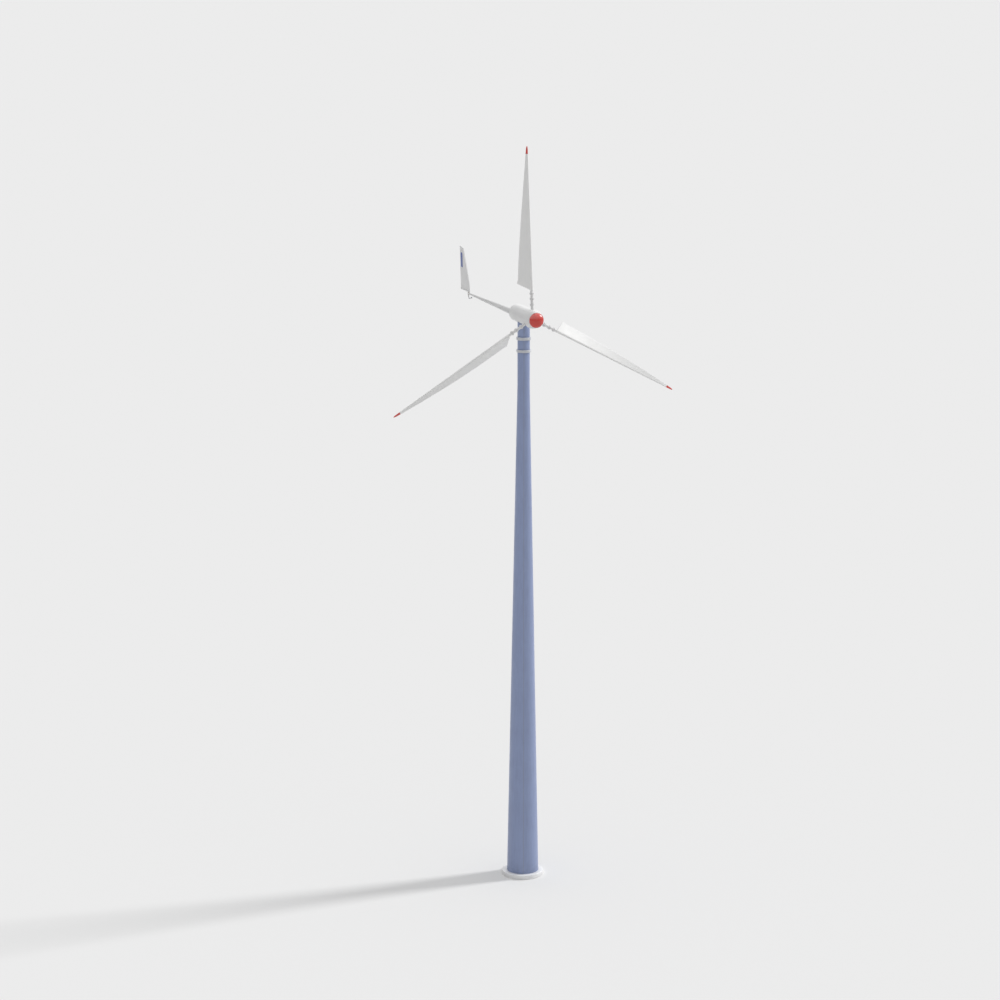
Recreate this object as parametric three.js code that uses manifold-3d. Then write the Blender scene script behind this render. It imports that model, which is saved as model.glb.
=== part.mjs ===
// Small horizontal-axis wind turbine on a tapered tube tower.
// Millimetres, +Z up. The origin is the centre of the foundation face under the
// base plate, and the rotor looks along -Y with its axis at z = HUB_HEIGHT.

import * as THREE from 'three';
import { mergeVertices } from 'three/addons/utils/BufferGeometryUtils.js';
import Module from 'manifold-3d';

const wasm = await Module();
wasm.setup();

// ---------------------------------------------------------------- dimensions

const HUB_HEIGHT = 6000;
const GAP = 0.3;          // between pieces that touch
const RUN_GAP = 0.4;      // between a shaft and what it turns in
const REACH = 1;          // how far cutting and joining solids run past each other's faces

const SIDES_LARGE = 24;   // facets round the tower, nacelle and hub
const SIDES_MEDIUM = 16;  // facets round shields, bearings and shafts
const SIDES_SMALL = 12;   // facets round rods, bolts and bosses
const SIDES_CABLE = 8;
const HEX = 6;

const base = {
  plateRadius: 208,
  plateThickness: 25,
  coverRadius: 216.4,
  coverHeight: 45.3,
  coverWall: 3,
  coverEdge: 2,
  boltCircleRadius: 188,
  boltCount: 6,
  firstBoltAngle: 30,
  boltRadius: 8,
  boltHeadRadius: 13,
  boltHeadHeight: 10,
  washerRadius: 15,
  washerThickness: 3,
  cableHoleY: 60,
  cableHoleRadius: 16,
};
const gland = { bottom: 2, rim: 4, flangeHeight: 7, height: 16 };

const tower = {
  footRadius: 166.3,
  topRadius: 63,
  wall: 4,
  taperTop: 5279,
  top: 5634,
};

const collar = { radius: 75, edge: 1.5 };
const lowerCollar = { bottom: 5620.3, top: 5648.1 };
const upperCollar = { bottom: 5747.3, top: 5776.6, innerRadius: 56 };

const adapter = {
  top: 5746.5,
  bottom: 5560,
  spigotRadius: 58.5,
  spigotBore: 54,
  shelfBottom: 5636,
  shelfTop: 5646,
  shelfBore: 38,
  bearingBore: 50.3,
};

const yawBearing = { width: 18, outerRadius: 50, lowerBottom: 5646.3, upperBottom: 5726 };
const yawShaft = {
  radius: 30,
  bore: 18,
  bottom: 5562,
  flangeRadius: 55.7,
  flangeBottom: 5752,
  top: 5764,
};
const slipRing = {
  bottom: 5566,
  bore: 31,
  ringHeight: 8,
  ringCount: 3,
  radius: 41,
  grooveRadius: 38,
  groove: 4,
};
const brush = { inner: 41.7, outer: 52, width: 16, bottom: 5568, top: 5602 };

const neck = { radius: 63, bore: 56 };

const cable = { radius: 5 };
// the tower cable after it leaves the brushes: x, y, z
const towerCableRoute = [
  [40, 12, 5150],
  [30, 30, 4200],
  [22, 44, 3000],
  [12, 54, 1700],
  [4, 59, 700],
  [0, 60, 160],
  [0, 60, 80],
];
const towerCableBend = 5480;
// the head cable from the rear end turns: y, and the drop below the middle of the winding
const headCableRoute = [[-62, 1], [-34, 6], [-10, 26], [0, 58], [0, 110], [0, 230], [0, 340]];

// along the rotor axis, y from the tower axis; z offsets are from the rotor axis
const casing = {
  frontY: -236,
  rearY: 200,
  frontRadius: 90,
  rearRadius: 88,
  taperEndY: 120,
  wall: 4,
  neckHoleRadius: 50,
};

const frontShield = {
  frontY: -232,
  seatY: -222.5,
  rearY: -203,
  rimRearY: -216,
  lipBore: 20,
  seatBore: 31.3,
  hubRadius: 38,
};
const rearShield = {
  frontY: 78,
  rimFrontY: 86,
  seatEndY: 96.3,
  rearY: 100,
  lipBore: 16,
  seatBore: 26.3,
  hubRadius: 33,
};
const frontBearing = { outerRadius: 31, frontY: -222, rearY: -204 };
const rearBearing = { outerRadius: 26, frontY: 80, rearY: 96 };

const stator = {
  outerRadius: 84.2,
  boreRadius: 60.5,
  slotRadius: 77,
  slotWidth: 13,
  slotCount: 12,
  frontY: -180,
  rearY: -100,
};
const winding = {
  innerRadius: 64,
  outerRadius: 76,
  barWidth: 10,
  barInset: 2,
  frontY: -196,
  rearY: -84,
  endTurn: 14,
};
const magnets = { count: 12, outerRadius: 59.3, valleyRadius: 56.5, innerRadius: 54.3, share: 0.8 };
const drum = { rimRadius: 54, rimWall: 6, hubRadius: 26, webHalf: 6, frontY: -174, rearY: -106 };

const rearCover = {
  endY: 228,
  spigotY: 186,
  wall: 4,
  shoulder: 27,
  bossRadius: 39,
  bossFrontY: 170,
  bossY: 236,
};

const boom = {
  drop: 15,               // boom axis below the rotor axis
  startY: 165,
  socketRadius: 34,
  endY: 1792,
  endRadius: 9.5,
  wall: 3,
  boreEndY: 1690,
  boreEndRadius: 7.5,
};

const vanePivot = { y: 1800, sleeveRadius: 10.5, sleeveHalf: 12, bore: 7.8 };
const bush = { radius: 7.5, flangeRadius: 9.8, flange: 1.5, length: 11 };
const post = { radius: 5.5, top: 2.7, bottom: -45 };
const hook = {
  rodRadius: 5,
  overlap: 4,
  bend: 20,
  bendAngle: 100,
  bendSteps: 6,
  middle: [0, -60, -60],
  nearBall: [0, -80, -53.5],
  rodEnd: [0, -98, -48],
  socketEnd: [0, -102, -46.6],
  ballRadius: 9.5,
  ballY: -101,
  ballZ: -47,
  steps: 14,
  socketSteps: 4,
};

// the fin, measured back from the pivot axis and up from the rotor axis
const fin = {
  thickness: 10,
  bevel: 2.5,
  bottom: 5.8,
  frontU: -26,
  curveStart: 30,
  curveEnd: { u: 37, v: 202 },
  shoulder: { u: 184, v: 456 },
  topFrontU: 226,
  top: 468,
  topRearU: 293,
  bottomRearU: 255,
  cornerCut: 18,
  cornerDrop: 1,
};
const rail = { wall: 2, floor: 2.5, bottom: 3, top: 20, frontU: -18, rearU: 250 };
const rivet = { radius: 2.5, headRadius: 4.5, headHeight: 3, height: 13, places: [24, 122, 220] };

// rotor group: origin where the blade axes cross the rotor axis
const ROTOR_Y = -268;
const PARK_ANGLE = -2.1;  // degrees, first blade from straight up
const BLADE_COUNT = 3;

const shaft = {
  frontY: -62,
  threadRadius: 10,
  threadEndY: -32.3,
  radius: 15,
  shoulderStartY: 24,
  shoulderEndY: 44,
  shoulderRadius: 18,
  journalStartY: 338,
  journalRadius: 12,
  rearY: 371,
};
const hubCore = {
  frontY: -32,
  rearY: 22,
  radius: 50,
  flangeRadius: 88,
  flangeStartY: 14,
  bossRadius: 22,
  bossStart: 20,
  bossEnd: 86,
};
const hubNut = { cornerRadius: 17.5, frontY: -49, rearY: -32.6 };
const hubShell = {
  wall: 3.5,
  holeRadius: 17,
  holeStart: 60,
  holeEnd: 120,
  // outer radius against y, from the rear rim to the front rim
  outline: [[92, 27], [95.8, 11], [97.4, -8], [96, -34], [91, -68], [82, -108], [78, -117]],
  innerFrontRadius: 74,
};
const nose = {
  baseY: -119,
  radius: 75.5,
  depth: 52,
  wall: 3,
  spigotRadius: 71.2,
  spigotRear: -107,
  steps: 6,
};

const shank = {
  radius: 14.5,
  start: 46,
  end: 291.5,
  spigotRadius: 6,
  spigotEnd: 470,
  spigotClear: 2,
  socketStart: 44,
  beadRadius: 22,
  beadLength: 18,
  beadPlaces: [204, 257],
  beadEdge: 3,
};
const clampNut = { place: 143, length: 18, radius: 22, edge: 3 };
const blade = {
  root: 292,
  rootCut: 60,            // the root edge runs out to this much further at the trailing edge
  full: 400,              // from here out every section is square to the blade axis
  tipStart: 1658,
  tip: 1735,
  rootNose: 15,
  tipNose: 6.5,
  rootChord: 158,         // blade axis to trailing edge
  tipChord: 9,
  rootPitch: 43,
  tipPitch: 0,
  camber: 0.035,
  trailingHalf: 1.1,
  // the back of a section: share of the chord, of the nose radius and of the camber
  suction: [[0.75, 0.35, 1], [0.5, 0.75, 1.2], [0.22, 1.02, 0.6]],
  noseSteps: 6,
  stations: 9,
  // how far along the tip piece, and the share of the full section there
  tipEnd: [[0, 1], [0.45, 1], [0.8, 0.85], [1, 0.45]],
};

// ----------------------------------------------------------------- materials

const finish = (color, roughness, metalness) => new THREE.MeshStandardMaterial({ color, roughness, metalness });
const towerBlue = finish(0x7c87a6, 0.55, 0.1);
const paintedWhite = finish(0xd9d9d9, 0.45, 0.05);
const bladeWhite = finish(0xe6e6e4, 0.35, 0.0);
const signalRed = finish(0xb8443c, 0.25, 0.0);
const steel = finish(0x9a9ca0, 0.35, 0.9);
const bearingSteel = finish(0xb9bcc0, 0.2, 1.0);
const laminations = finish(0x55585c, 0.5, 0.8);
const copper = finish(0xb06a3c, 0.35, 0.9);
const magnetGrey = finish(0x6c6e72, 0.3, 0.9);
const aluminium = finish(0xb5b8bb, 0.45, 0.8);
const cableRubber = finish(0x1d1e20, 0.7, 0.0);
const darkPlastic = finish(0x2a2c30, 0.6, 0.0);
const bronze = finish(0x9c7a45, 0.4, 0.8);

// ------------------------------------------------------------- solid helpers

// A closed mesh with its shared corners merged, as a solid for joining and cutting.
function toSolid(geometry) {
  const plain = geometry.clone();
  plain.deleteAttribute('normal');
  plain.deleteAttribute('uv');
  const merged = mergeVertices(plain, 1e-4);
  const mesh = new wasm.Mesh({
    numProp: 3,
    vertProperties: new Float32Array(merged.attributes.position.array),
    triVerts: new Uint32Array(merged.index.array),
  });
  return new wasm.Manifold(mesh);
}

function toGeometry(solid) {
  const mesh = solid.getMesh();
  const geometry = new THREE.BufferGeometry();
  geometry.setAttribute('position', new THREE.BufferAttribute(new Float32Array(mesh.vertProperties), 3));
  geometry.setIndex(new THREE.BufferAttribute(new Uint32Array(mesh.triVerts), 1));
  geometry.computeVertexNormals();
  return geometry;
}

function cut(geometry, ...tools) {
  return toGeometry(tools.reduce((solid, tool) => solid.subtract(toSolid(tool)), toSolid(geometry)));
}

function join(geometry, ...others) {
  return toGeometry(others.reduce((solid, other) => solid.add(toSolid(other)), toSolid(geometry)));
}

// Profile points are [radius, height]; the turned solid's axis is Y.
function turnedY(profile, sides) {
  const points = profile.map(([radius, height]) => new THREE.Vector2(radius, height));
  return new THREE.LatheGeometry(points, sides);
}

function turnedZ(profile, sides) {
  return turnedY(profile, sides).rotateX(Math.PI / 2);
}

// A plain ring or tube section as a closed profile.
function ringProfile(inner, outer, from, to) {
  return [[inner, from], [outer, from], [outer, to], [inner, to], [inner, from]];
}

// A ring whose outer corners are broken by a chamfer.
function edgedRingProfile(inner, outer, from, to, edge) {
  return [
    [inner, from],
    [outer - edge, from],
    [outer, from + edge],
    [outer, to - edge],
    [outer - edge, to],
    [inner, to],
    [inner, from],
  ];
}

function rodProfile(radius, from, to) {
  return [[0, from], [radius, from], [radius, to], [0, to]];
}

const rodY = (radius, from, to, sides) => turnedY(rodProfile(radius, from, to), sides);
const rodZ = (radius, from, to, sides) => turnedZ(rodProfile(radius, from, to), sides);

function polygonShape(points) {
  return new THREE.Shape(points.map(([u, v]) => new THREE.Vector2(u, v)));
}

// A rod of round section along a smooth curve through the given points.
function bentRod(points, radius, sides, steps) {
  const path = new THREE.CatmullRomCurve3(points.map(([x, y, z]) => new THREE.Vector3(x, y, z)));
  const section = [];
  for (let i = 0; i < sides; i += 1) {
    const angle = (2 * Math.PI * i) / sides;
    section.push([radius * Math.cos(angle), radius * Math.sin(angle)]);
  }
  return new THREE.ExtrudeGeometry(polygonShape(section), { extrudePath: path, steps, bevelEnabled: false });
}

function piece(parent, name, geometry, material) {
  const mesh = new THREE.Mesh(geometry, material);
  mesh.name = name;
  parent.add(mesh);
  return mesh;
}

const degrees = (value) => THREE.MathUtils.degToRad(value);

// -------------------------------------------------------------------- groups

const turbine = new THREE.Group();
const towerGroup = new THREE.Group();
const headGroup = new THREE.Group();
const vaneGroup = new THREE.Group();
const rotorGroup = new THREE.Group();

headGroup.position.z = HUB_HEIGHT;
vaneGroup.position.y = vanePivot.y;
rotorGroup.position.y = ROTOR_Y;
turbine.add(towerGroup, headGroup);
headGroup.add(vaneGroup, rotorGroup);

// ---------------------------------------------------------------- foundation

function buildBase() {
  const boltAngles = [];
  for (let i = 0; i < base.boltCount; i += 1) {
    boltAngles.push(degrees(base.firstBoltAngle) + (2 * Math.PI * i) / base.boltCount);
  }
  const circle = base.boltCircleRadius;
  const boltPlace = (angle) => [circle * Math.cos(angle), circle * Math.sin(angle)];

  const boltHoles = boltAngles.map((angle) => {
    const [x, y] = boltPlace(angle);
    return rodZ(base.boltRadius + GAP, -REACH, base.plateThickness + REACH, SIDES_SMALL).translate(x, y, 0);
  });
  const cableHole = rodZ(base.cableHoleRadius, -REACH, base.plateThickness + REACH, SIDES_SMALL)
    .translate(0, base.cableHoleY, 0);
  const plate = rodZ(base.plateRadius, 0, base.plateThickness, SIDES_LARGE);
  piece(towerGroup, 'base_plate', cut(plate, ...boltHoles, cableHole), steel);

  const coverTop = base.coverHeight;
  const underside = coverTop - base.coverWall;
  const skirtInner = base.coverRadius - base.coverWall;
  const holeRadius = towerRadiusAt(underside) + 2 * GAP;
  piece(towerGroup, 'base_cover', turnedZ([
    [holeRadius, underside],
    [skirtInner, underside],
    [skirtInner, 0],
    [base.coverRadius, 0],
    [base.coverRadius, coverTop - base.coverEdge],
    [base.coverRadius - base.coverEdge, coverTop],
    [holeRadius, coverTop],
    [holeRadius, underside],
  ], SIDES_LARGE), paintedWhite);

  const washerBottom = base.plateThickness + GAP;
  const headBottom = washerBottom + base.washerThickness;
  boltAngles.forEach((angle, index) => {
    const shankAndWasher = turnedZ([
      [0, GAP],
      [base.boltRadius, GAP],
      [base.boltRadius, washerBottom],
      [base.washerRadius, washerBottom],
      [base.washerRadius, headBottom],
      [0, headBottom],
    ], SIDES_SMALL);
    const head = rodZ(base.boltHeadRadius, headBottom - REACH, headBottom + base.boltHeadHeight, HEX);
    const [x, y] = boltPlace(angle);
    piece(towerGroup, `anchor_bolt_${index + 1}`, join(shankAndWasher, head).translate(x, y, 0), steel);
  });

  const plateTop = base.plateThickness;
  piece(towerGroup, 'cable_gland', turnedZ([
    [cable.radius + GAP, gland.bottom],
    [base.cableHoleRadius - 2 * GAP, gland.bottom],
    [base.cableHoleRadius - 2 * GAP, plateTop + GAP],
    [base.cableHoleRadius + gland.rim, plateTop + GAP],
    [base.cableHoleRadius + gland.rim, plateTop + gland.flangeHeight],
    [cable.radius + gland.rim, plateTop + gland.height],
    [cable.radius + GAP, plateTop + gland.height],
    [cable.radius + GAP, gland.bottom],
  ], SIDES_SMALL).translate(0, base.cableHoleY, 0), darkPlastic);
}

// --------------------------------------------------------------------- tower

function towerRadiusAt(z) {
  const slope = (tower.footRadius - tower.topRadius) / (tower.taperTop - base.plateThickness);
  return tower.topRadius + slope * Math.max(0, tower.taperTop - z);
}

function buildTower() {
  const foot = base.plateThickness + GAP;
  piece(towerGroup, 'tower_tube', turnedZ([
    [towerRadiusAt(foot) - tower.wall, foot],
    [towerRadiusAt(foot), foot],
    [tower.topRadius, tower.taperTop],
    [tower.topRadius, tower.top],
    [tower.topRadius - tower.wall, tower.top],
    [tower.topRadius - tower.wall, tower.taperTop],
    [towerRadiusAt(foot) - tower.wall, foot],
  ], SIDES_LARGE), towerBlue);

  piece(towerGroup, 'lower_collar', turnedZ(edgedRingProfile(
    tower.topRadius + GAP, collar.radius, lowerCollar.bottom, lowerCollar.top, collar.edge,
  ), SIDES_LARGE), paintedWhite);

  piece(towerGroup, 'tower_adapter', turnedZ([
    [adapter.spigotBore, adapter.bottom],
    [adapter.spigotRadius, adapter.bottom],
    [adapter.spigotRadius, tower.top + GAP],
    [tower.topRadius, tower.top + GAP],
    [tower.topRadius, adapter.top],
    [adapter.bearingBore, adapter.top],
    [adapter.bearingBore, adapter.shelfTop],
    [adapter.shelfBore, adapter.shelfTop],
    [adapter.shelfBore, adapter.shelfBottom],
    [adapter.spigotBore, adapter.shelfBottom],
    [adapter.spigotBore, adapter.bottom],
  ], SIDES_LARGE), towerBlue);

  const yawBearingBore = yawShaft.radius + RUN_GAP;
  [['yaw_bearing_lower', yawBearing.lowerBottom], ['yaw_bearing_upper', yawBearing.upperBottom]].forEach(
    ([name, bottom]) => {
      const profile = ringProfile(yawBearingBore, yawBearing.outerRadius, bottom, bottom + yawBearing.width);
      piece(towerGroup, name, turnedZ(profile, SIDES_LARGE), bearingSteel);
    },
  );

  const block = new THREE.BoxGeometry(brush.outer - brush.inner, brush.width, brush.top - brush.bottom);
  block.translate((brush.inner + brush.outer) / 2, 0, (brush.top + brush.bottom) / 2);
  piece(towerGroup, 'brush_block', block, darkPlastic);

  const cableTopX = (brush.inner + brush.outer) / 2;
  piece(towerGroup, 'tower_cable', bentRod([
    [cableTopX, 0, brush.bottom - GAP],
    [cableTopX, 0, towerCableBend],
    ...towerCableRoute,
    [0, base.cableHoleY, GAP],
  ], cable.radius, SIDES_CABLE, 24), cableRubber);
}

// ------------------------------------------------------------------ yaw head

function buildYawHead() {
  const level = (z) => z - HUB_HEIGHT;

  piece(headGroup, 'upper_collar', turnedZ(edgedRingProfile(
    upperCollar.innerRadius, collar.radius, level(upperCollar.bottom), level(upperCollar.top), collar.edge,
  ), SIDES_LARGE), paintedWhite);

  piece(headGroup, 'yaw_shaft', turnedZ([
    [yawShaft.bore, level(yawShaft.bottom)],
    [yawShaft.radius, level(yawShaft.bottom)],
    [yawShaft.radius, level(yawShaft.flangeBottom)],
    [yawShaft.flangeRadius, level(yawShaft.flangeBottom)],
    [yawShaft.flangeRadius, level(yawShaft.top)],
    [yawShaft.bore, level(yawShaft.top)],
    [yawShaft.bore, level(yawShaft.bottom)],
  ], SIDES_LARGE), steel);

  const rings = [[slipRing.bore, slipRing.bottom]];
  let height = slipRing.bottom;
  for (let i = 0; i < slipRing.ringCount; i += 1) {
    rings.push([slipRing.radius, height], [slipRing.radius, height + slipRing.ringHeight]);
    height += slipRing.ringHeight;
    if (i < slipRing.ringCount - 1) {
      rings.push([slipRing.grooveRadius, height], [slipRing.grooveRadius, height + slipRing.groove]);
      height += slipRing.groove;
    }
  }
  rings.push([slipRing.bore, height], [slipRing.bore, slipRing.bottom]);
  const ringProfileFromHub = rings.map(([radius, z]) => [radius, level(z)]);
  piece(headGroup, 'slip_ring', turnedZ(ringProfileFromHub, SIDES_MEDIUM), copper);

  const neckTube = turnedZ(
    ringProfile(neck.bore, neck.radius, level(upperCollar.top) + GAP, -casing.frontRadius / 2),
    SIDES_LARGE,
  );
  const saddle = rodY(casing.frontRadius + GAP, casing.frontY, casing.rearY, 2 * SIDES_LARGE);
  piece(headGroup, 'yaw_neck', cut(neckTube, saddle), towerBlue);
}

// ------------------------------------------------------- nacelle and alternator

function casingRadiusAt(y) {
  const share = THREE.MathUtils.clamp((y - casing.frontY) / (casing.taperEndY - casing.frontY), 0, 1);
  return casing.frontRadius + share * (casing.rearRadius - casing.frontRadius);
}

function buildNacelle() {
  const shell = turnedY([
    [casing.frontRadius - casing.wall, casing.frontY],
    [casing.frontRadius, casing.frontY],
    [casing.rearRadius, casing.taperEndY],
    [casing.rearRadius, casing.rearY],
    [casing.rearRadius - casing.wall, casing.rearY],
    [casing.rearRadius - casing.wall, casing.taperEndY],
    [casing.frontRadius - casing.wall, casing.frontY],
  ], SIDES_LARGE);
  const holeBottom = -casing.frontRadius - REACH;
  const neckHole = rodZ(casing.neckHoleRadius, holeBottom, -casing.frontRadius / 2, SIDES_MEDIUM);
  piece(headGroup, 'nacelle_casing', cut(shell, neckHole), paintedWhite);

  const shieldRim = (y) => casingRadiusAt(y) - casing.wall - 3 * GAP;
  piece(headGroup, 'front_shield', turnedY([
    [frontShield.lipBore, frontShield.frontY],
    [shieldRim(frontShield.frontY), frontShield.frontY],
    [shieldRim(frontShield.frontY), frontShield.rimRearY],
    [frontShield.hubRadius, frontShield.rimRearY],
    [frontShield.hubRadius, frontShield.rearY],
    [frontShield.seatBore, frontShield.rearY],
    [frontShield.seatBore, frontShield.seatY],
    [frontShield.lipBore, frontShield.seatY],
    [frontShield.lipBore, frontShield.frontY],
  ], SIDES_MEDIUM), aluminium);

  piece(headGroup, 'rear_shield', turnedY([
    [rearShield.seatBore, rearShield.frontY],
    [rearShield.hubRadius, rearShield.frontY],
    [rearShield.hubRadius, rearShield.rimFrontY],
    [shieldRim(rearShield.rearY), rearShield.rimFrontY],
    [shieldRim(rearShield.rearY), rearShield.rearY],
    [rearShield.lipBore, rearShield.rearY],
    [rearShield.lipBore, rearShield.seatEndY],
    [rearShield.seatBore, rearShield.seatEndY],
    [rearShield.seatBore, rearShield.frontY],
  ], SIDES_MEDIUM), aluminium);

  piece(headGroup, 'front_bearing', turnedY(ringProfile(
    shaft.radius + RUN_GAP, frontBearing.outerRadius, frontBearing.frontY, frontBearing.rearY,
  ), SIDES_MEDIUM), bearingSteel);
  piece(headGroup, 'rear_bearing', turnedY(ringProfile(
    shaft.journalRadius + RUN_GAP, rearBearing.outerRadius, rearBearing.frontY, rearBearing.rearY,
  ), SIDES_MEDIUM), bearingSteel);
}

// Points of the bore edge of the stator stack, going round every open slot.
function slottedBore() {
  const points = [];
  const boreHalf = Math.asin(stator.slotWidth / 2 / stator.boreRadius);
  const slotHalf = Math.asin(stator.slotWidth / 2 / stator.slotRadius);
  for (let i = 0; i < stator.slotCount; i += 1) {
    const middle = (2 * Math.PI * i) / stator.slotCount;
    const corners = [
      [stator.boreRadius, middle - boreHalf],
      [stator.slotRadius, middle - slotHalf],
      [stator.slotRadius, middle + slotHalf],
      [stator.boreRadius, middle + boreHalf],
    ];
    corners.forEach(([radius, angle]) => points.push([radius * Math.cos(angle), radius * Math.sin(angle)]));
  }
  return points;
}

function circlePoints(radius, sides) {
  const points = [];
  for (let i = 0; i < sides; i += 1) {
    const angle = (2 * Math.PI * i) / sides;
    points.push([radius * Math.cos(angle), radius * Math.sin(angle)]);
  }
  return points;
}

// An outline in the XZ plane, drawn out along Y between two stations.
function drawnAlongY(shape, frontY, rearY) {
  const geometry = new THREE.ExtrudeGeometry(shape, { depth: rearY - frontY, bevelEnabled: false });
  return geometry.rotateX(-Math.PI / 2).translate(0, frontY, 0);
}

function buildAlternator() {
  const stack = polygonShape(circlePoints(stator.outerRadius, SIDES_LARGE));
  stack.holes.push(polygonShape(slottedBore()));
  piece(headGroup, 'stator_core', drawnAlongY(stack, stator.frontY, stator.rearY), laminations);

  const endTurn = (from) => turnedY(
    ringProfile(winding.innerRadius, winding.outerRadius, from, from + winding.endTurn),
    SIDES_MEDIUM,
  );
  const bars = [];
  for (let i = 0; i < stator.slotCount; i += 1) {
    const bar = new THREE.BoxGeometry(
      winding.outerRadius - winding.innerRadius - 2 * winding.barInset,
      winding.rearY - winding.frontY - winding.endTurn,
      winding.barWidth,
    );
    bar.translate((winding.innerRadius + winding.outerRadius) / 2, (winding.frontY + winding.rearY) / 2, 0);
    bars.push(bar.rotateY((2 * Math.PI * i) / stator.slotCount));
  }
  const coils = join(endTurn(winding.frontY), endTurn(winding.rearY - winding.endTurn), ...bars);
  piece(headGroup, 'stator_winding', coils, copper);

  const leadRadius = (winding.innerRadius + winding.outerRadius) / 2;
  piece(headGroup, 'head_cable', bentRod([
    [0, winding.rearY + GAP, -leadRadius],
    ...headCableRoute.map(([y, drop]) => [0, y, -leadRadius - drop]),
  ], cable.radius, SIDES_CABLE, 20), cableRubber);
}

// -------------------------------------------------------------- cover and boom

function buildTail() {
  const outer = casing.rearRadius;
  const spigot = outer - casing.wall - GAP;
  const shoulderCentreY = rearCover.endY - rearCover.shoulder;
  const shoulder = (radius, steps) => {
    const points = [];
    for (let i = 0; i <= steps; i += 1) {
      const angle = (Math.PI / 2) * (i / steps);
      points.push([
        outer - rearCover.shoulder + radius * Math.cos(angle),
        shoulderCentreY + radius * Math.sin(angle),
      ]);
    }
    return points;
  };
  const coverShell = turnedY([
    [spigot - rearCover.wall, rearCover.spigotY],
    [spigot, rearCover.spigotY],
    [spigot, casing.rearY + GAP],
    ...shoulder(rearCover.shoulder, 5),
    [0, rearCover.endY],
    [0, rearCover.endY - rearCover.wall],
    ...shoulder(rearCover.shoulder - rearCover.wall, 2).reverse(),
    [spigot - rearCover.wall, rearCover.spigotY],
  ], SIDES_LARGE);
  const boss = rodY(rearCover.bossRadius, rearCover.bossFrontY, rearCover.bossY, SIDES_MEDIUM)
    .translate(0, 0, -boom.drop);
  const socket = rodY(boom.socketRadius + GAP, boom.startY - REACH, rearCover.bossY + REACH, SIDES_MEDIUM)
    .translate(0, 0, -boom.drop);
  piece(headGroup, 'rear_cover', cut(join(coverShell, boss), socket), paintedWhite);

  const cone = turnedY([
    [0, boom.boreEndY],
    [boom.boreEndRadius, boom.boreEndY],
    [boom.socketRadius - boom.wall, boom.startY],
    [boom.socketRadius, boom.startY],
    [boom.socketRadius, rearCover.bossY],
    [boom.endRadius, boom.endY],
    [0, boom.endY],
  ], SIDES_MEDIUM);
  const sleeve = rodZ(vanePivot.sleeveRadius, -vanePivot.sleeveHalf, vanePivot.sleeveHalf, SIDES_SMALL)
    .translate(0, vanePivot.y, 0);
  const bore = rodZ(vanePivot.bore, -boom.drop, boom.drop, SIDES_SMALL).translate(0, vanePivot.y, 0);
  piece(headGroup, 'tail_boom', cut(join(cone, sleeve), bore).translate(0, 0, -boom.drop), paintedWhite);

  // each bush slides in from one end of the sleeve, flange outermost
  [['vane_bush_upper', 1], ['vane_bush_lower', -1]].forEach(([name, side]) => {
    const seat = vanePivot.sleeveHalf + GAP;
    const profile = [
      [post.radius + RUN_GAP, seat - bush.length],
      [bush.radius, seat - bush.length],
      [bush.radius, seat],
      [bush.flangeRadius, seat],
      [bush.flangeRadius, seat + bush.flange],
      [post.radius + RUN_GAP, seat + bush.flange],
      [post.radius + RUN_GAP, seat - bush.length],
    ].map(([radius, z]) => [radius, side * z]);
    const ordered = side > 0 ? profile : profile.reverse();
    piece(headGroup, name, turnedZ(ordered, SIDES_SMALL).translate(0, vanePivot.y, -boom.drop), bronze);
  });
}

// ----------------------------------------------------------------- tail vane

// An outline of (back, up) points, drawn out sideways and centred on x = 0.
function sidewaysPlate(shape, width, bevel) {
  const geometry = new THREE.ExtrudeGeometry(shape, {
    depth: width - 2 * bevel,
    bevelEnabled: bevel > 0,
    bevelThickness: bevel,
    bevelSize: bevel,
    bevelOffset: -bevel,
    bevelSegments: 1,
    curveSegments: 10,
  });
  geometry.translate(0, 0, bevel - width / 2);
  const turn = new THREE.Matrix4().makeBasis(
    new THREE.Vector3(0, 1, 0),
    new THREE.Vector3(0, 0, 1),
    new THREE.Vector3(1, 0, 0),
  );
  return geometry.applyMatrix4(turn);
}

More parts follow.
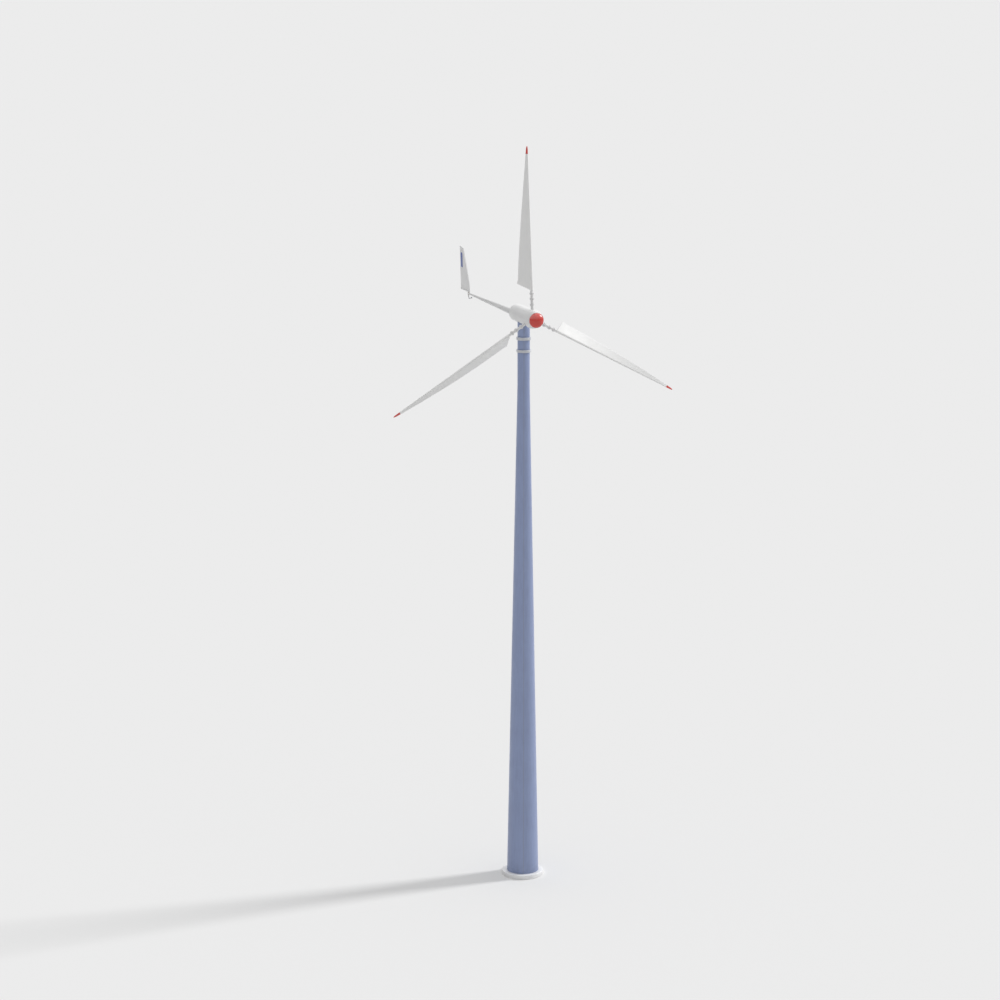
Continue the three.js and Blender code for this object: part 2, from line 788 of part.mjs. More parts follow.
function buildVane() {
  const crossRod = (radius, half, u) => rodY(radius, -half, half, SIDES_CABLE)
    .rotateZ(Math.PI / 2)
    .translate(0, u, rivet.height);

  const upright = rodZ(post.radius, post.bottom, post.top, SIDES_SMALL);
  const bendPoints = [[0, 0, post.bottom + hook.overlap]];
  for (let i = 0; i <= hook.bendSteps; i += 1) {
    const angle = degrees(hook.bendAngle) * (i / hook.bendSteps);
    bendPoints.push([
      0,
      -hook.bend + hook.bend * Math.cos(angle),
      post.bottom - hook.bend * Math.sin(angle),
    ]);
  }
  bendPoints.push(hook.middle, hook.rodEnd);
  const rod = bentRod(bendPoints, hook.rodRadius, SIDES_SMALL, hook.steps);
  piece(vaneGroup, 'vane_post', join(upright, rod), steel);

  const ball = new THREE.SphereGeometry(hook.ballRadius, SIDES_SMALL, SIDES_CABLE)
    .translate(0, hook.ballY, hook.ballZ);
  const socketRoute = [hook.middle, hook.nearBall, hook.socketEnd];
  const rodSocket = bentRod(socketRoute, hook.rodRadius + 2 * GAP, SIDES_SMALL, hook.socketSteps);
  piece(vaneGroup, 'hook_ball', cut(ball, rodSocket), steel);

  const outline = new THREE.Shape();
  const slope = (fin.shoulder.v - fin.curveEnd.v) / (fin.shoulder.u - fin.curveEnd.u);
  const controlV = fin.curveEnd.v - slope * (fin.curveEnd.u - fin.frontU);
  outline.moveTo(fin.frontU, fin.bottom);
  outline.lineTo(fin.bottomRearU, fin.bottom);
  outline.lineTo(fin.topRearU, fin.top);
  outline.lineTo(fin.topFrontU, fin.top);
  const cornerU = fin.topFrontU - fin.cornerCut;
  outline.quadraticCurveTo(cornerU, fin.top - fin.cornerDrop, fin.shoulder.u, fin.shoulder.v);
  outline.lineTo(fin.curveEnd.u, fin.curveEnd.v);
  outline.quadraticCurveTo(fin.frontU, controlV, fin.frontU, fin.curveStart);
  outline.lineTo(fin.frontU, fin.bottom);
  const finPlate = sidewaysPlate(outline, fin.thickness, fin.bevel);
  const finHoles = rivet.places.map((u) => crossRod(rivet.radius + GAP, fin.thickness, u));
  piece(vaneGroup, 'vane_panel', cut(finPlate, ...finHoles), paintedWhite);

  const innerHalf = fin.thickness / 2 + GAP;
  const outerHalf = innerHalf + rail.wall;
  const channel = polygonShape([
    [-outerHalf, rail.bottom],
    [outerHalf, rail.bottom],
    [outerHalf, rail.top],
    [innerHalf, rail.top],
    [innerHalf, rail.bottom + rail.floor],
    [-innerHalf, rail.bottom + rail.floor],
    [-innerHalf, rail.top],
    [-outerHalf, rail.top],
  ]);
  const railLength = rail.rearU - rail.frontU;
  const channelSolid = new THREE.ExtrudeGeometry(channel, { depth: railLength, bevelEnabled: false })
    .rotateX(Math.PI / 2)
    .translate(0, rail.rearU, 0);
  const railHoles = rivet.places.map((u) => crossRod(rivet.radius + GAP, 2 * outerHalf, u));
  piece(vaneGroup, 'vane_rail', cut(channelSolid, ...railHoles), paintedWhite);

  rivet.places.forEach((u, index) => {
    const headStart = outerHalf + GAP;
    const headEnd = headStart + rivet.headHeight;
    const stem = turnedY([
      [0, -headEnd],
      [rivet.headRadius, -headEnd],
      [rivet.headRadius, -headStart],
      [rivet.radius, -headStart],
      [rivet.radius, headStart],
      [rivet.headRadius, headStart],
      [rivet.headRadius, headEnd],
      [0, headEnd],
    ], SIDES_CABLE);
    const rivetSolid = stem.rotateZ(Math.PI / 2).translate(0, u, rivet.height);
    piece(vaneGroup, `vane_rivet_${index + 1}`, rivetSolid, steel);
  });
}

// --------------------------------------------------------------------- rotor

function bladeAngles() {
  return Array.from({ length: BLADE_COUNT }, (_, i) => degrees(PARK_ANGLE + (360 / BLADE_COUNT) * i));
}

// A round rod that points out along a blade's axis.
const radialRod = (radius, from, to, sides, angle) => rodZ(radius, from, to, sides).rotateY(angle);

function buildRotorCore() {
  piece(rotorGroup, 'main_shaft', turnedY([
    [0, shaft.frontY],
    [shaft.threadRadius, shaft.frontY],
    [shaft.threadRadius, shaft.threadEndY],
    [shaft.radius, shaft.threadEndY],
    [shaft.radius, shaft.shoulderStartY],
    [shaft.shoulderRadius, shaft.shoulderStartY],
    [shaft.shoulderRadius, shaft.shoulderEndY],
    [shaft.radius, shaft.shoulderEndY],
    [shaft.radius, shaft.journalStartY],
    [shaft.journalRadius, shaft.journalStartY],
    [shaft.journalRadius, shaft.rearY],
    [0, shaft.rearY],
  ], SIDES_MEDIUM), steel);

  const drumBore = shaft.radius + GAP;
  const drumMiddle = (drum.frontY + drum.rearY) / 2 - ROTOR_Y;
  const drumHalf = (drum.rearY - drum.frontY) / 2;
  piece(rotorGroup, 'rotor_drum', turnedY([
    [drumBore, drumMiddle - drumHalf],
    [drum.hubRadius, drumMiddle - drumHalf],
    [drum.hubRadius, drumMiddle - drum.webHalf],
    [drum.rimRadius - drum.rimWall, drumMiddle - drum.webHalf],
    [drum.rimRadius - drum.rimWall, drumMiddle - drumHalf],
    [drum.rimRadius, drumMiddle - drumHalf],
    [drum.rimRadius, drumMiddle + drumHalf],
    [drum.rimRadius - drum.rimWall, drumMiddle + drumHalf],
    [drum.rimRadius - drum.rimWall, drumMiddle + drum.webHalf],
    [drum.hubRadius, drumMiddle + drum.webHalf],
    [drum.hubRadius, drumMiddle + drumHalf],
    [drumBore, drumMiddle + drumHalf],
    [drumBore, drumMiddle - drumHalf],
  ], SIDES_MEDIUM), steel);

  const crest = [];
  const pitch = (2 * Math.PI) / magnets.count;
  for (let i = 0; i < magnets.count; i += 1) {
    const half = (pitch / 2) * magnets.share;
    [
      [magnets.valleyRadius, i * pitch - half],
      [magnets.outerRadius, i * pitch - half],
      [magnets.outerRadius, i * pitch],
      [magnets.outerRadius, i * pitch + half],
      [magnets.valleyRadius, i * pitch + half],
    ].forEach(([radius, angle]) => crest.push([radius * Math.cos(angle), radius * Math.sin(angle)]));
  }
  const magnetShape = polygonShape(crest);
  magnetShape.holes.push(polygonShape(circlePoints(magnets.innerRadius, SIDES_MEDIUM)));
  const magnetRing = drawnAlongY(magnetShape, drumMiddle - drumHalf, drumMiddle + drumHalf);
  piece(rotorGroup, 'magnet_ring', magnetRing, magnetGrey);

  const coreBody = turnedY([
    [0, hubCore.frontY],
    [hubCore.radius, hubCore.frontY],
    [hubCore.radius, hubCore.flangeStartY],
    [hubCore.flangeRadius, hubCore.flangeStartY],
    [hubCore.flangeRadius, hubCore.rearY],
    [0, hubCore.rearY],
  ], SIDES_LARGE);
  const bosses = bladeAngles().map((angle) => (
    radialRod(hubCore.bossRadius, hubCore.bossStart, hubCore.bossEnd, SIDES_SMALL, angle)
  ));
  const sockets = bladeAngles().map((angle) => (
    radialRod(shank.radius + GAP, shank.socketStart, hubCore.flangeRadius + REACH, SIDES_SMALL, angle)
  ));
  const shaftBore = rodY(shaft.radius + GAP, hubCore.frontY - REACH, hubCore.rearY + REACH, SIDES_MEDIUM);
  piece(rotorGroup, 'hub_core', cut(join(coreBody, ...bosses), shaftBore, ...sockets), aluminium);

  const nut = rodY(hubNut.cornerRadius, hubNut.frontY, hubNut.rearY, HEX);
  const nutThread = rodY(shaft.threadRadius + GAP, hubNut.frontY - REACH, hubNut.rearY + REACH, SIDES_MEDIUM);
  piece(rotorGroup, 'hub_nut', cut(nut, nutThread), steel);

  const outerLine = hubShell.outline;
  const frontY = outerLine[outerLine.length - 1][1];
  const shellProfile = [
    [hubShell.innerFrontRadius, frontY],
    ...[...outerLine].reverse(),
    [outerLine[0][0] - hubShell.wall, outerLine[0][1]],
    [outerLine[2][0] - hubShell.wall, outerLine[2][1]],
    [hubShell.innerFrontRadius, frontY],
  ];
  const shankHoles = bladeAngles().map((angle) => (
    radialRod(hubShell.holeRadius, hubShell.holeStart, hubShell.holeEnd, SIDES_SMALL, angle)
  ));
  piece(rotorGroup, 'hub_shell', cut(turnedY(shellProfile, SIDES_LARGE), ...shankHoles), paintedWhite);

  const domeLine = (radius, depth, steps) => {
    const points = [];
    for (let i = 0; i <= steps; i += 1) {
      const angle = (Math.PI / 2) * (1 - i / steps);
      points.push([i === 0 ? 0 : radius * Math.cos(angle), nose.baseY - depth * Math.sin(angle)]);
    }
    return points;
  };
  const spigotInner = nose.spigotRadius - nose.wall;
  piece(rotorGroup, 'nose_dome', turnedY([
    ...domeLine(nose.radius, nose.depth, nose.steps),
    [nose.spigotRadius, nose.baseY],
    [nose.spigotRadius, nose.spigotRear],
    [spigotInner, nose.spigotRear],
    ...domeLine(spigotInner, nose.depth - nose.wall, nose.steps / 2).reverse(),
  ], SIDES_LARGE), signalRed);
}

// Section of a blade at a place along its axis: a round nose on the axis, a flat
// pressure side and an arched suction side running to a thin trailing edge.
// Points are (toward trailing edge, toward the back) before the section is pitched,
// clockwise, because the trailing edge lies on the -X side of an upright blade.
function bladeSection(noseRadius, chord) {
  const points = [];
  for (let i = 0; i <= blade.noseSteps; i += 1) {
    const angle = Math.PI / 2 + (Math.PI * i) / blade.noseSteps;
    points.push([noseRadius * Math.cos(angle), noseRadius * Math.sin(angle)]);
  }
  points.push([chord / 2, -(noseRadius + blade.trailingHalf) / 2]);
  points.push([chord, -blade.trailingHalf]);
  points.push([chord, blade.trailingHalf]);
  blade.suction.forEach(([alongChord, ofNose, ofCamber]) => {
    points.push([chord * alongChord, noseRadius * ofNose + blade.camber * chord * ofCamber]);
  });
  return points.reverse();
}

function bladeValues(r) {
  const share = THREE.MathUtils.clamp((r - blade.full) / (blade.tip - blade.full), 0, 1);
  const rootShare = THREE.MathUtils.clamp((r - blade.root) / (blade.tip - blade.root), 0, 1);
  return {
    noseRadius: THREE.MathUtils.lerp(blade.rootNose, blade.tipNose, rootShare),
    chord: THREE.MathUtils.lerp(blade.rootChord, blade.tipChord, rootShare),
    pitch: degrees(THREE.MathUtils.lerp(blade.rootPitch, blade.tipPitch, share)),
  };
}

// A skin drawn over the sections at the given places along the blade axis. The
// plain stack of sections is extruded first, then each ring of corners is moved out.
function bladeBody(places, rootCut, endScale) {
  const count = bladeSection(1, 1).length;
  const stack = new THREE.ExtrudeGeometry(polygonShape(circlePoints(1, count)), {
    depth: places.length - 1,
    steps: places.length - 1,
    bevelEnabled: false,
  });
  const position = stack.attributes.position;
  for (let i = 0; i < position.count; i += 1) {
    const turn = Math.atan2(position.getY(i), position.getX(i)) / (2 * Math.PI);
    const corner = Math.round((turn < 0 ? turn + 1 : turn) * count) % count;
    const station = Math.round(position.getZ(i));
    const r = places[station];
    const { noseRadius, chord, pitch } = bladeValues(r);
    const scale = endScale(station);
    const [u, v] = bladeSection(noseRadius, chord)[corner].map((value) => value * scale);
    const along = station === 0 ? r + rootCut * Math.max(0, u / chord) : r;
    const back = u * Math.sin(pitch) + v * Math.cos(pitch);
    const side = -(u * Math.cos(pitch) - v * Math.sin(pitch));
    position.setXYZ(i, side, back, along);
  }
  return stack;
}

function buildBlade(index, angle) {
  const bladeGroup = new THREE.Group();
  bladeGroup.rotation.y = angle;
  rotorGroup.add(bladeGroup);

  const profile = [[0, shank.start], [shank.radius, shank.start]];
  shank.beadPlaces.forEach((place) => {
    const from = place - shank.beadLength / 2;
    const to = place + shank.beadLength / 2;
    profile.push(
      [shank.radius, from],
      [shank.beadRadius, from + shank.beadEdge],
      [shank.beadRadius, to - shank.beadEdge],
      [shank.radius, to],
    );
  });
  profile.push(
    [shank.radius, shank.end],
    [shank.spigotRadius, shank.end],
    [shank.spigotRadius, shank.spigotEnd],
    [0, shank.spigotEnd],
  );
  piece(bladeGroup, `blade_${index}_shank`, turnedZ(profile, SIDES_SMALL), paintedWhite);

  const nutFrom = clampNut.place - clampNut.length / 2;
  piece(bladeGroup, `blade_${index}_clamp_nut`, turnedZ(edgedRingProfile(
    shank.radius + GAP, clampNut.radius, nutFrom, nutFrom + clampNut.length, clampNut.edge,
  ), SIDES_SMALL), paintedWhite);

  const places = [blade.root];
  for (let i = 0; i <= blade.stations; i += 1) {
    places.push(THREE.MathUtils.lerp(blade.full, blade.tipStart, i / blade.stations));
  }
  const panel = bladeBody(places, blade.rootCut, () => 1);
  const socketEnd = shank.spigotEnd + shank.spigotClear;
  const socket = rodZ(shank.spigotRadius + GAP, blade.root - REACH, socketEnd, SIDES_SMALL);
  piece(bladeGroup, `blade_${index}_panel`, cut(panel, socket), bladeWhite);

  const tipPlaces = blade.tipEnd.map(([share]) => (
    THREE.MathUtils.lerp(blade.tipStart + GAP, blade.tip, share)
  ));
  const tipScale = (station) => blade.tipEnd[station][1];
  piece(bladeGroup, `blade_${index}_tip`, bladeBody(tipPlaces, 0, tipScale), signalRed);
}

buildBase();
buildTower();
buildYawHead();
buildNacelle();
buildAlternator();
buildTail();
buildVane();
buildRotorCore();
bladeAngles().forEach((angle, index) => buildBlade(index + 1, angle));

export default turbine;
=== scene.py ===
"""Looks of a small horizontal-axis wind turbine on a tapered tube tower.

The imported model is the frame: every piece made here is in metres in the same axes, rides on
a body of that model and stands for the plain node whose place it takes.
"""

import math

import bpy
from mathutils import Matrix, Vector


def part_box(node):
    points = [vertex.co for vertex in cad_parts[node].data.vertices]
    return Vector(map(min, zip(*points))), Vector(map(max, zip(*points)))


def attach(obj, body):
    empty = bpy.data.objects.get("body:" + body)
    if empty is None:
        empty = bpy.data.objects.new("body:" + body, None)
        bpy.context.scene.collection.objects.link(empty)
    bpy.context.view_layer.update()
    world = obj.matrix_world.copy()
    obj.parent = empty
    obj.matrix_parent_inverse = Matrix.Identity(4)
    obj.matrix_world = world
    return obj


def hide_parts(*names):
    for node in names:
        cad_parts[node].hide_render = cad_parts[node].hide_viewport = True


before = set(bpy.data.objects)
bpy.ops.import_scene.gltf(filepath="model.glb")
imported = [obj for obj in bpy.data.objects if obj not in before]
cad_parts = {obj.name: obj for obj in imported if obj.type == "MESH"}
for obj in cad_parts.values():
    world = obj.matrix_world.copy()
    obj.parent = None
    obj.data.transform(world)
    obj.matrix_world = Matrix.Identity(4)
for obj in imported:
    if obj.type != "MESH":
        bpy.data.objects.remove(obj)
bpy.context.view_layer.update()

# ------------------------------------------------------------------ driving sizes

MM = 0.001                   # the scene is in metres
DOUBLES = 0.02 * MM          # corners closer than this are one corner
ROUND_LARGE = 144            # faces round the tower, nacelle and hub
ROUND_MEDIUM = 72            # faces round shafts, bearings and the boom
ROUND_SMALL = 36             # faces round rods, bolts and rivets
ROUND_CABLE = 16             # faces round cables
SMOOTH_ANGLE = math.radians(35)

UP = Vector((0, 0, 1))
BACK = Vector((0, 1, 0))
SIDE = Vector((1, 0, 0))

ORIGIN = Vector((0, 0, 0))

shank_low, shank_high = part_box("blade_1_shank")
nose_low, nose_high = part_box("nose_dome")
HUB = Vector((0, (shank_low.y + shank_high.y) / 2, (nose_low.z + nose_high.z) / 2))
HEAD = Vector((0, 0, HUB.z))
BOOM = HEAD - UP * 15 * MM
PIVOT = Vector((0, 1800 * MM, HUB.z))
BOOM_END = Vector((0, PIVOT.y, BOOM.z))
CORE = HEAD - BACK * 140 * MM        # the middle of the generator's magnets and coils

# Radii, levels and lengths below are in millimetres, as every profile is.
TOP_RADIUS = 63              # the tower above its taper
TAPER_TOP = 5279
TUBE_WALL = 4
FOOT_PLATE = 25              # thickness
CASING_FRONT_RADIUS = 90
CASING_REAR_RADIUS = 88
CASING_WALL = 4
BOOM_RADIUS = 34             # at the cover
SHAFT_RADIUS = 15
ROD_RADIUS = 14.5            # a blade's root rod, and the swells on it
BEAD_RADIUS = 22
CABLE_RADIUS = 5
CLEARANCE = 0.3              # between two pieces that meet
FIN_FRONT = -26              # the fin's corners, back from the pivot and up from the rotor axis
FIN_FOOT = 5.8
FIN_TOP = 468
FIN_FOOT_REAR = 255
FIN_TOP_REAR = 293
FIN_TOP_FRONT = 226
BLADE_ANGLES = [math.radians(-2.1 + 120 * i) for i in range(3)]


# ------------------------------------------------------------------ camera, lights and floor

CAMERA_PLACE = (-8.768, -24.999, 9.909)
CAMERA_PITCH = 77.575
CAMERA_HEADING = -18.805
CAMERA_LENS = 94.45

BACKDROP = 0.838             # the brightness of the seamless floor and the backdrop behind it
SKY_TOP = 1.37               # soft overhead light, falling to nothing at the horizon
SKY_GLOW = 1.9               # added to the sky where it is seen in a reflection
SKY_GLOW_REACH = 0.4         # the height at which that glow is full
SUN_HEIGHT = 33
SUN_HEADING = 0.9            # degrees from +X towards +Y
SUN_WIDTH = 9
SUN_STRENGTH = 1.9
FLOOR_GREY = 0.79
FLOOR_SIZE = 3000

WELD_LEAN = 0.30             # the tower's weld is off the front by this slope, towards -X


def make_camera():
    bpy.ops.object.camera_add(
        location=CAMERA_PLACE,
        rotation=(math.radians(CAMERA_PITCH), 0, math.radians(CAMERA_HEADING)),
    )
    camera = bpy.context.object
    camera.name = "camera"
    camera.data.lens = CAMERA_LENS
    camera.data.sensor_width = 36
    camera.data.clip_end = 5000
    bpy.context.scene.camera = camera


def make_world():
    """A sky that is brightest overhead, and the backdrop's own grey where the camera sees it."""
    bpy.context.scene.view_settings.view_transform = "Standard"
    world = bpy.data.worlds.new("studio")
    bpy.context.scene.world = world
    world.use_nodes = True
    tree = world.node_tree
    tree.nodes.clear()
    climb = axes(tree, add(tree, "TexCoord").outputs["Generated"])["Z"]
    height = math_node(tree, "MAXIMUM", climb, 0.0)
    rays = add(tree, "LightPath")
    glow = spread(tree, climb, 0.0, SKY_GLOW_REACH, 0.0, SKY_GLOW)
    seen_glow = times(tree, glow, rays.outputs["Is Glossy Ray"])
    overhead = times(tree, height, SKY_TOP)
    sky = add(tree, "Background")
    tree.links.new(plus(tree, overhead, seen_glow), sky.inputs["Strength"])
    backdrop = add(tree, "Background")
    backdrop.inputs["Color"].default_value = (BACKDROP, BACKDROP, BACKDROP, 1)
    chooser = add(tree, "MixShader")
    tree.links.new(rays.outputs["Is Camera Ray"], chooser.inputs["Fac"])
    tree.links.new(sky.outputs["Background"], chooser.inputs[1])
    tree.links.new(backdrop.outputs["Background"], chooser.inputs[2])
    output = add(tree, "OutputWorld")
    tree.links.new(chooser.outputs["Shader"], output.inputs["Surface"])


def make_sun():
    bpy.ops.object.light_add(type="SUN", location=(8, 0, 9))
    sun = bpy.context.object
    sun.name = "sun"
    sun.rotation_euler = (0, math.radians(90 - SUN_HEIGHT), math.radians(SUN_HEADING))
    sun.data.energy = SUN_STRENGTH
    sun.data.angle = math.radians(SUN_WIDTH)


def make_floor():
    bpy.ops.object.select_all(action="DESELECT")
    bpy.ops.mesh.primitive_plane_add(size=FLOOR_SIZE, location=(0, 0, -0.5 * MM))
    floor = bpy.context.object
    floor.name = "floor"
    paper = bpy.data.materials.new("studio_paper")
    paper.use_nodes = True
    shader = paper.node_tree.nodes["Principled BSDF"]
    shader.inputs["Base Color"].default_value = (FLOOR_GREY, FLOOR_GREY, FLOOR_GREY, 1)
    shader.inputs["Roughness"].default_value = 1
    shader.inputs["Specular IOR Level"].default_value = 0
    floor.data.materials.append(paper)


# ------------------------------------------------------------------ shader node groups


def new_group(name, inputs, outputs):
    """An empty shader node group with named inputs (kind, default) and outputs (kind)."""
    group = bpy.data.node_groups.new(name, "ShaderNodeTree")
    for label, (kind, value) in inputs.items():
        socket = group.interface.new_socket(label, in_out="INPUT", socket_type="NodeSocket" + kind)
        socket.default_value = value
    for label, kind in outputs.items():
        group.interface.new_socket(label, in_out="OUTPUT", socket_type="NodeSocket" + kind)
    return group, group.nodes.new("NodeGroupInput"), group.nodes.new("NodeGroupOutput")


def add(tree, kind, **settings):
    node = tree.nodes.new("ShaderNode" + kind)
    for key, value in settings.items():
        setattr(node, key, value)
    return node


def axes(tree, vector):
    """The X, Y and Z of a place."""
    parts = add(tree, "SeparateXYZ")
    tree.links.new(vector, parts.inputs["Vector"])
    return parts.outputs


def noise(tree, vector, scale, detail=3.0, roughness=0.5):
    """A noise texture's value on the given coordinates."""
    node = add(tree, "TexNoise")
    node.inputs["Detail"].default_value = detail
    node.inputs["Roughness"].default_value = roughness
    tree.links.new(vector, node.inputs["Vector"])
    feed(tree, scale, node.inputs["Scale"])
    return node.outputs["Fac"]


def feed(tree, value, socket):
    """Joins a socket, or sets a plain number or vector."""
    if isinstance(value, bpy.types.NodeSocket):
        tree.links.new(value, socket)
    else:
        socket.default_value = value


def math_node(tree, operation, first, second=0.0, clamp=False):
    node = add(tree, "Math", operation=operation, use_clamp=clamp)
    feed(tree, first, node.inputs[0])
    feed(tree, second, node.inputs[1])
    return node.outputs["Value"]


def plus(tree, first, second):
    return math_node(tree, "ADD", first, second)


def times(tree, first, second):
    return math_node(tree, "MULTIPLY", first, second)


def spread(tree, value, low, high, to_low=0.0, to_high=1.0):
    """Maps low..high smoothly on to to_low..to_high."""
    node = add(tree, "MapRange", interpolation_type="SMOOTHSTEP")
    feed(tree, value, node.inputs["Value"])
    feed(tree, low, node.inputs["From Min"])
    feed(tree, high, node.inputs["From Max"])
    feed(tree, to_low, node.inputs["To Min"])
    feed(tree, to_high, node.inputs["To Max"])
    return node.outputs["Result"]


def mixed(tree, factor, first, second):
    node = add(tree, "Mix", data_type="RGBA")
    feed(tree, factor, node.inputs["Factor"])
    feed(tree, first, node.inputs["A"])
    feed(tree, second, node.inputs["B"])
    return node.outputs["Result"]


def stretched(tree, vector, scale):
    node = add(tree, "Mapping", vector_type="TEXTURE")
    tree.links.new(vector, node.inputs["Vector"])
    node.inputs["Scale"].default_value = scale
    return node.outputs["Vector"]


def closed_group(group, end, colour, roughness, height):
    """Joins the three outputs that every finish group has."""
    group.links.new(colour, end.inputs["Colour"])
    group.links.new(roughness, end.inputs["Roughness"])
    group.links.new(height, end.inputs["Height"])
    return group


def build_paint_group():
    """Sprayed paint: broad cloudiness, fine runs down the surface and orange peel."""
    group, start, end = new_group(
        "sprayed_paint",
        {
            "Vector": ("Vector", (0, 0, 0)),
            "Colour": ("Color", (0.8, 0.8, 0.8, 1)),
            "Deep Colour": ("Color", (0.7, 0.7, 0.7, 1)),
            "Cloud Scale": ("Float", 6.0),
            "Cloud Amount": ("Float", 0.5),
            "Run Scale": ("Float", 60.0),
            "Run Amount": ("Float", 0.4),
            "Peel Scale": ("Float", 350.0),
            "Roughness": ("Float", 0.4),
            "Roughness Spread": ("Float", 0.12),
        },
        {"Colour": "Color", "Roughness": "Float", "Height": "Float"},
    )
    value = start.outputs
    place = value["Vector"]
    cloud = spread(group, noise(group, place, value["Cloud Scale"], 5, 0.6), 0.32, 0.68)
    long_way = stretched(group, place, (1, 1, 9))
    run = spread(group, noise(group, long_way, value["Run Scale"], 4, 0.6), 0.38, 0.7)
    clouded = times(group, cloud, value["Cloud Amount"])
    streaked = times(group, run, value["Run Amount"])
    amount = math_node(group, "ADD", clouded, streaked, clamp=True)
    colour = mixed(group, amount, value["Colour"], value["Deep Colour"])
    shift = times(group, math_node(group, "SUBTRACT", cloud, 0.5), value["Roughness Spread"])
    peel = noise(group, place, value["Peel Scale"], 2, 0.45)
    return closed_group(group, end, colour, plus(group, value["Roughness"], shift), peel)


def build_darkening_group():
    """A broken-up mask that is full at a level and fades out over a reach above and below it."""
    group, start, end = new_group(
        "darker_near_level",
        {
            "Vector": ("Vector", (0, 0, 0)),
            "Level": ("Float", 0.0),
            "Reach": ("Float", 0.1),
            "Break Scale": ("Float", 25.0),
        },
        {"Mask": "Float"},
    )
    value = start.outputs
    climb = math_node(group, "SUBTRACT", axes(group, value["Vector"])["Z"], value["Level"])
    share = math_node(group, "DIVIDE", math_node(group, "ABSOLUTE", climb), value["Reach"])
    fade = spread(group, share, 0.0, 1.0, 1.0, 0.0)
    patch = spread(group, noise(group, value["Vector"], value["Break Scale"], 6, 0.7), 0.35, 0.7)
    group.links.new(times(group, fade, patch), end.inputs["Mask"])
    return group


def build_machined_group():
    """Fine tool lines across the given direction of stretch, with broader tarnish."""
    group, start, end = new_group(
        "machined_metal",
        {
            "Vector": ("Vector", (0, 0, 0)),
            "Colour": ("Color", (0.5, 0.5, 0.5, 1)),
            "Tarnish Colour": ("Color", (0.3, 0.3, 0.3, 1)),
            "Line Scale": ("Float", 900.0),
            "Tarnish Scale": ("Float", 25.0),
            "Roughness": ("Float", 0.3),
        },
        {"Colour": "Color", "Roughness": "Float", "Height": "Float"},
    )
    value = start.outputs
    lines = noise(group, value["Vector"], value["Line Scale"], 2, 0.6)
    tarnish = spread(group, noise(group, value["Vector"], value["Tarnish Scale"], 6, 0.65), 0.4, 0.72)
    colour = mixed(group, tarnish, value["Colour"], value["Tarnish Colour"])
    rough = plus(group, value["Roughness"], times(group, tarnish, 0.2))
    return closed_group(group, end, colour, plus(group, rough, times(group, lines, 0.08)), lines)


def build_grain_group():
    """A pebbled or cast skin: cells with finer grain on them."""
    group, start, end = new_group(
        "grained_skin",
        {
            "Vector": ("Vector", (0, 0, 0)),
            "Colour": ("Color", (0.5, 0.5, 0.5, 1)),
            "Hollow Colour": ("Color", (0.3, 0.3, 0.3, 1)),
            "Cell Scale": ("Float", 400.0),
            "Roughness": ("Float", 0.5),
        },
        {"Colour": "Color", "Roughness": "Float", "Height": "Float"},
    )
    value = start.outputs
    cells = add(group, "TexVoronoi", feature="SMOOTH_F1")
    group.links.new(value["Vector"], cells.inputs["Vector"])
    group.links.new(value["Cell Scale"], cells.inputs["Scale"])
    fine = noise(group, value["Vector"], times(group, value["Cell Scale"], 2.5), 3, 0.6)
    height = plus(group, cells.outputs["Distance"], times(group, fine, 0.5))
    broad = noise(group, value["Vector"], 18.0, 4, 0.6)
    colour = mixed(group, spread(group, height, 0.2, 1.0), value["Hollow Colour"], value["Colour"])
    rough = plus(group, value["Roughness"], times(group, broad, 0.12))
    return closed_group(group, end, colour, rough, height)


PAINT = build_paint_group()
DARKENING = build_darkening_group()
MACHINED = build_machined_group()
GRAIN = build_grain_group()


def use_group(tree, group, vector, **values):
    """Places a node group and sets its inputs, which are named with underscores here."""
    node = add(tree, "Group", node_tree=group)
    tree.links.new(vector, node.inputs["Vector"])
    for key, value in values.items():
        feed(tree, value, node.inputs[key.replace("_", " ").title()])
    return node


# ------------------------------------------------------------------ materials

PEEL_DEPTH = 0.15 * MM       # the orange peel of sprayed paint
HEAD_PATTERN = {"cloud_scale": 7.0, "cloud_amount": 0.3, "run_scale": 45.0, "run_amount": 0.25}


def grey(value):
    return (value, value, value, 1)


def new_material(name, metallic=0.0, shine=0.5):
    """A material with a Principled shader, and the coordinates that its patterns use."""
    material = bpy.data.materials.new(name)
    material.use_nodes = True
    tree = material.node_tree
    shader = tree.nodes["Principled BSDF"]
    shader.inputs["Metallic"].default_value = metallic
    shader.inputs["Specular IOR Level"].default_value = shine
    place = add(tree, "TexCoord").outputs["Object"]
    return material, tree, shader, place


def darkened(colour):
    """A paint's colour darkened to 55 percent, for where it is darker near a level."""
    return tuple(0.55 * channel for channel in colour[:3]) + (1,)


def dress(tree, shader, colour, roughness, height, distance, strength=1.0):
    """Joins colour and roughness to the shader, and the height through a bump."""
    bump = add(tree, "Bump")
    bump.inputs["Distance"].default_value = distance
    bump.inputs["Strength"].default_value = strength
    tree.links.new(height, bump.inputs["Height"])
    tree.links.new(bump.outputs["Normal"], shader.inputs["Normal"])
    tree.links.new(colour, shader.inputs["Base Color"])
    tree.links.new(roughness, shader.inputs["Roughness"])


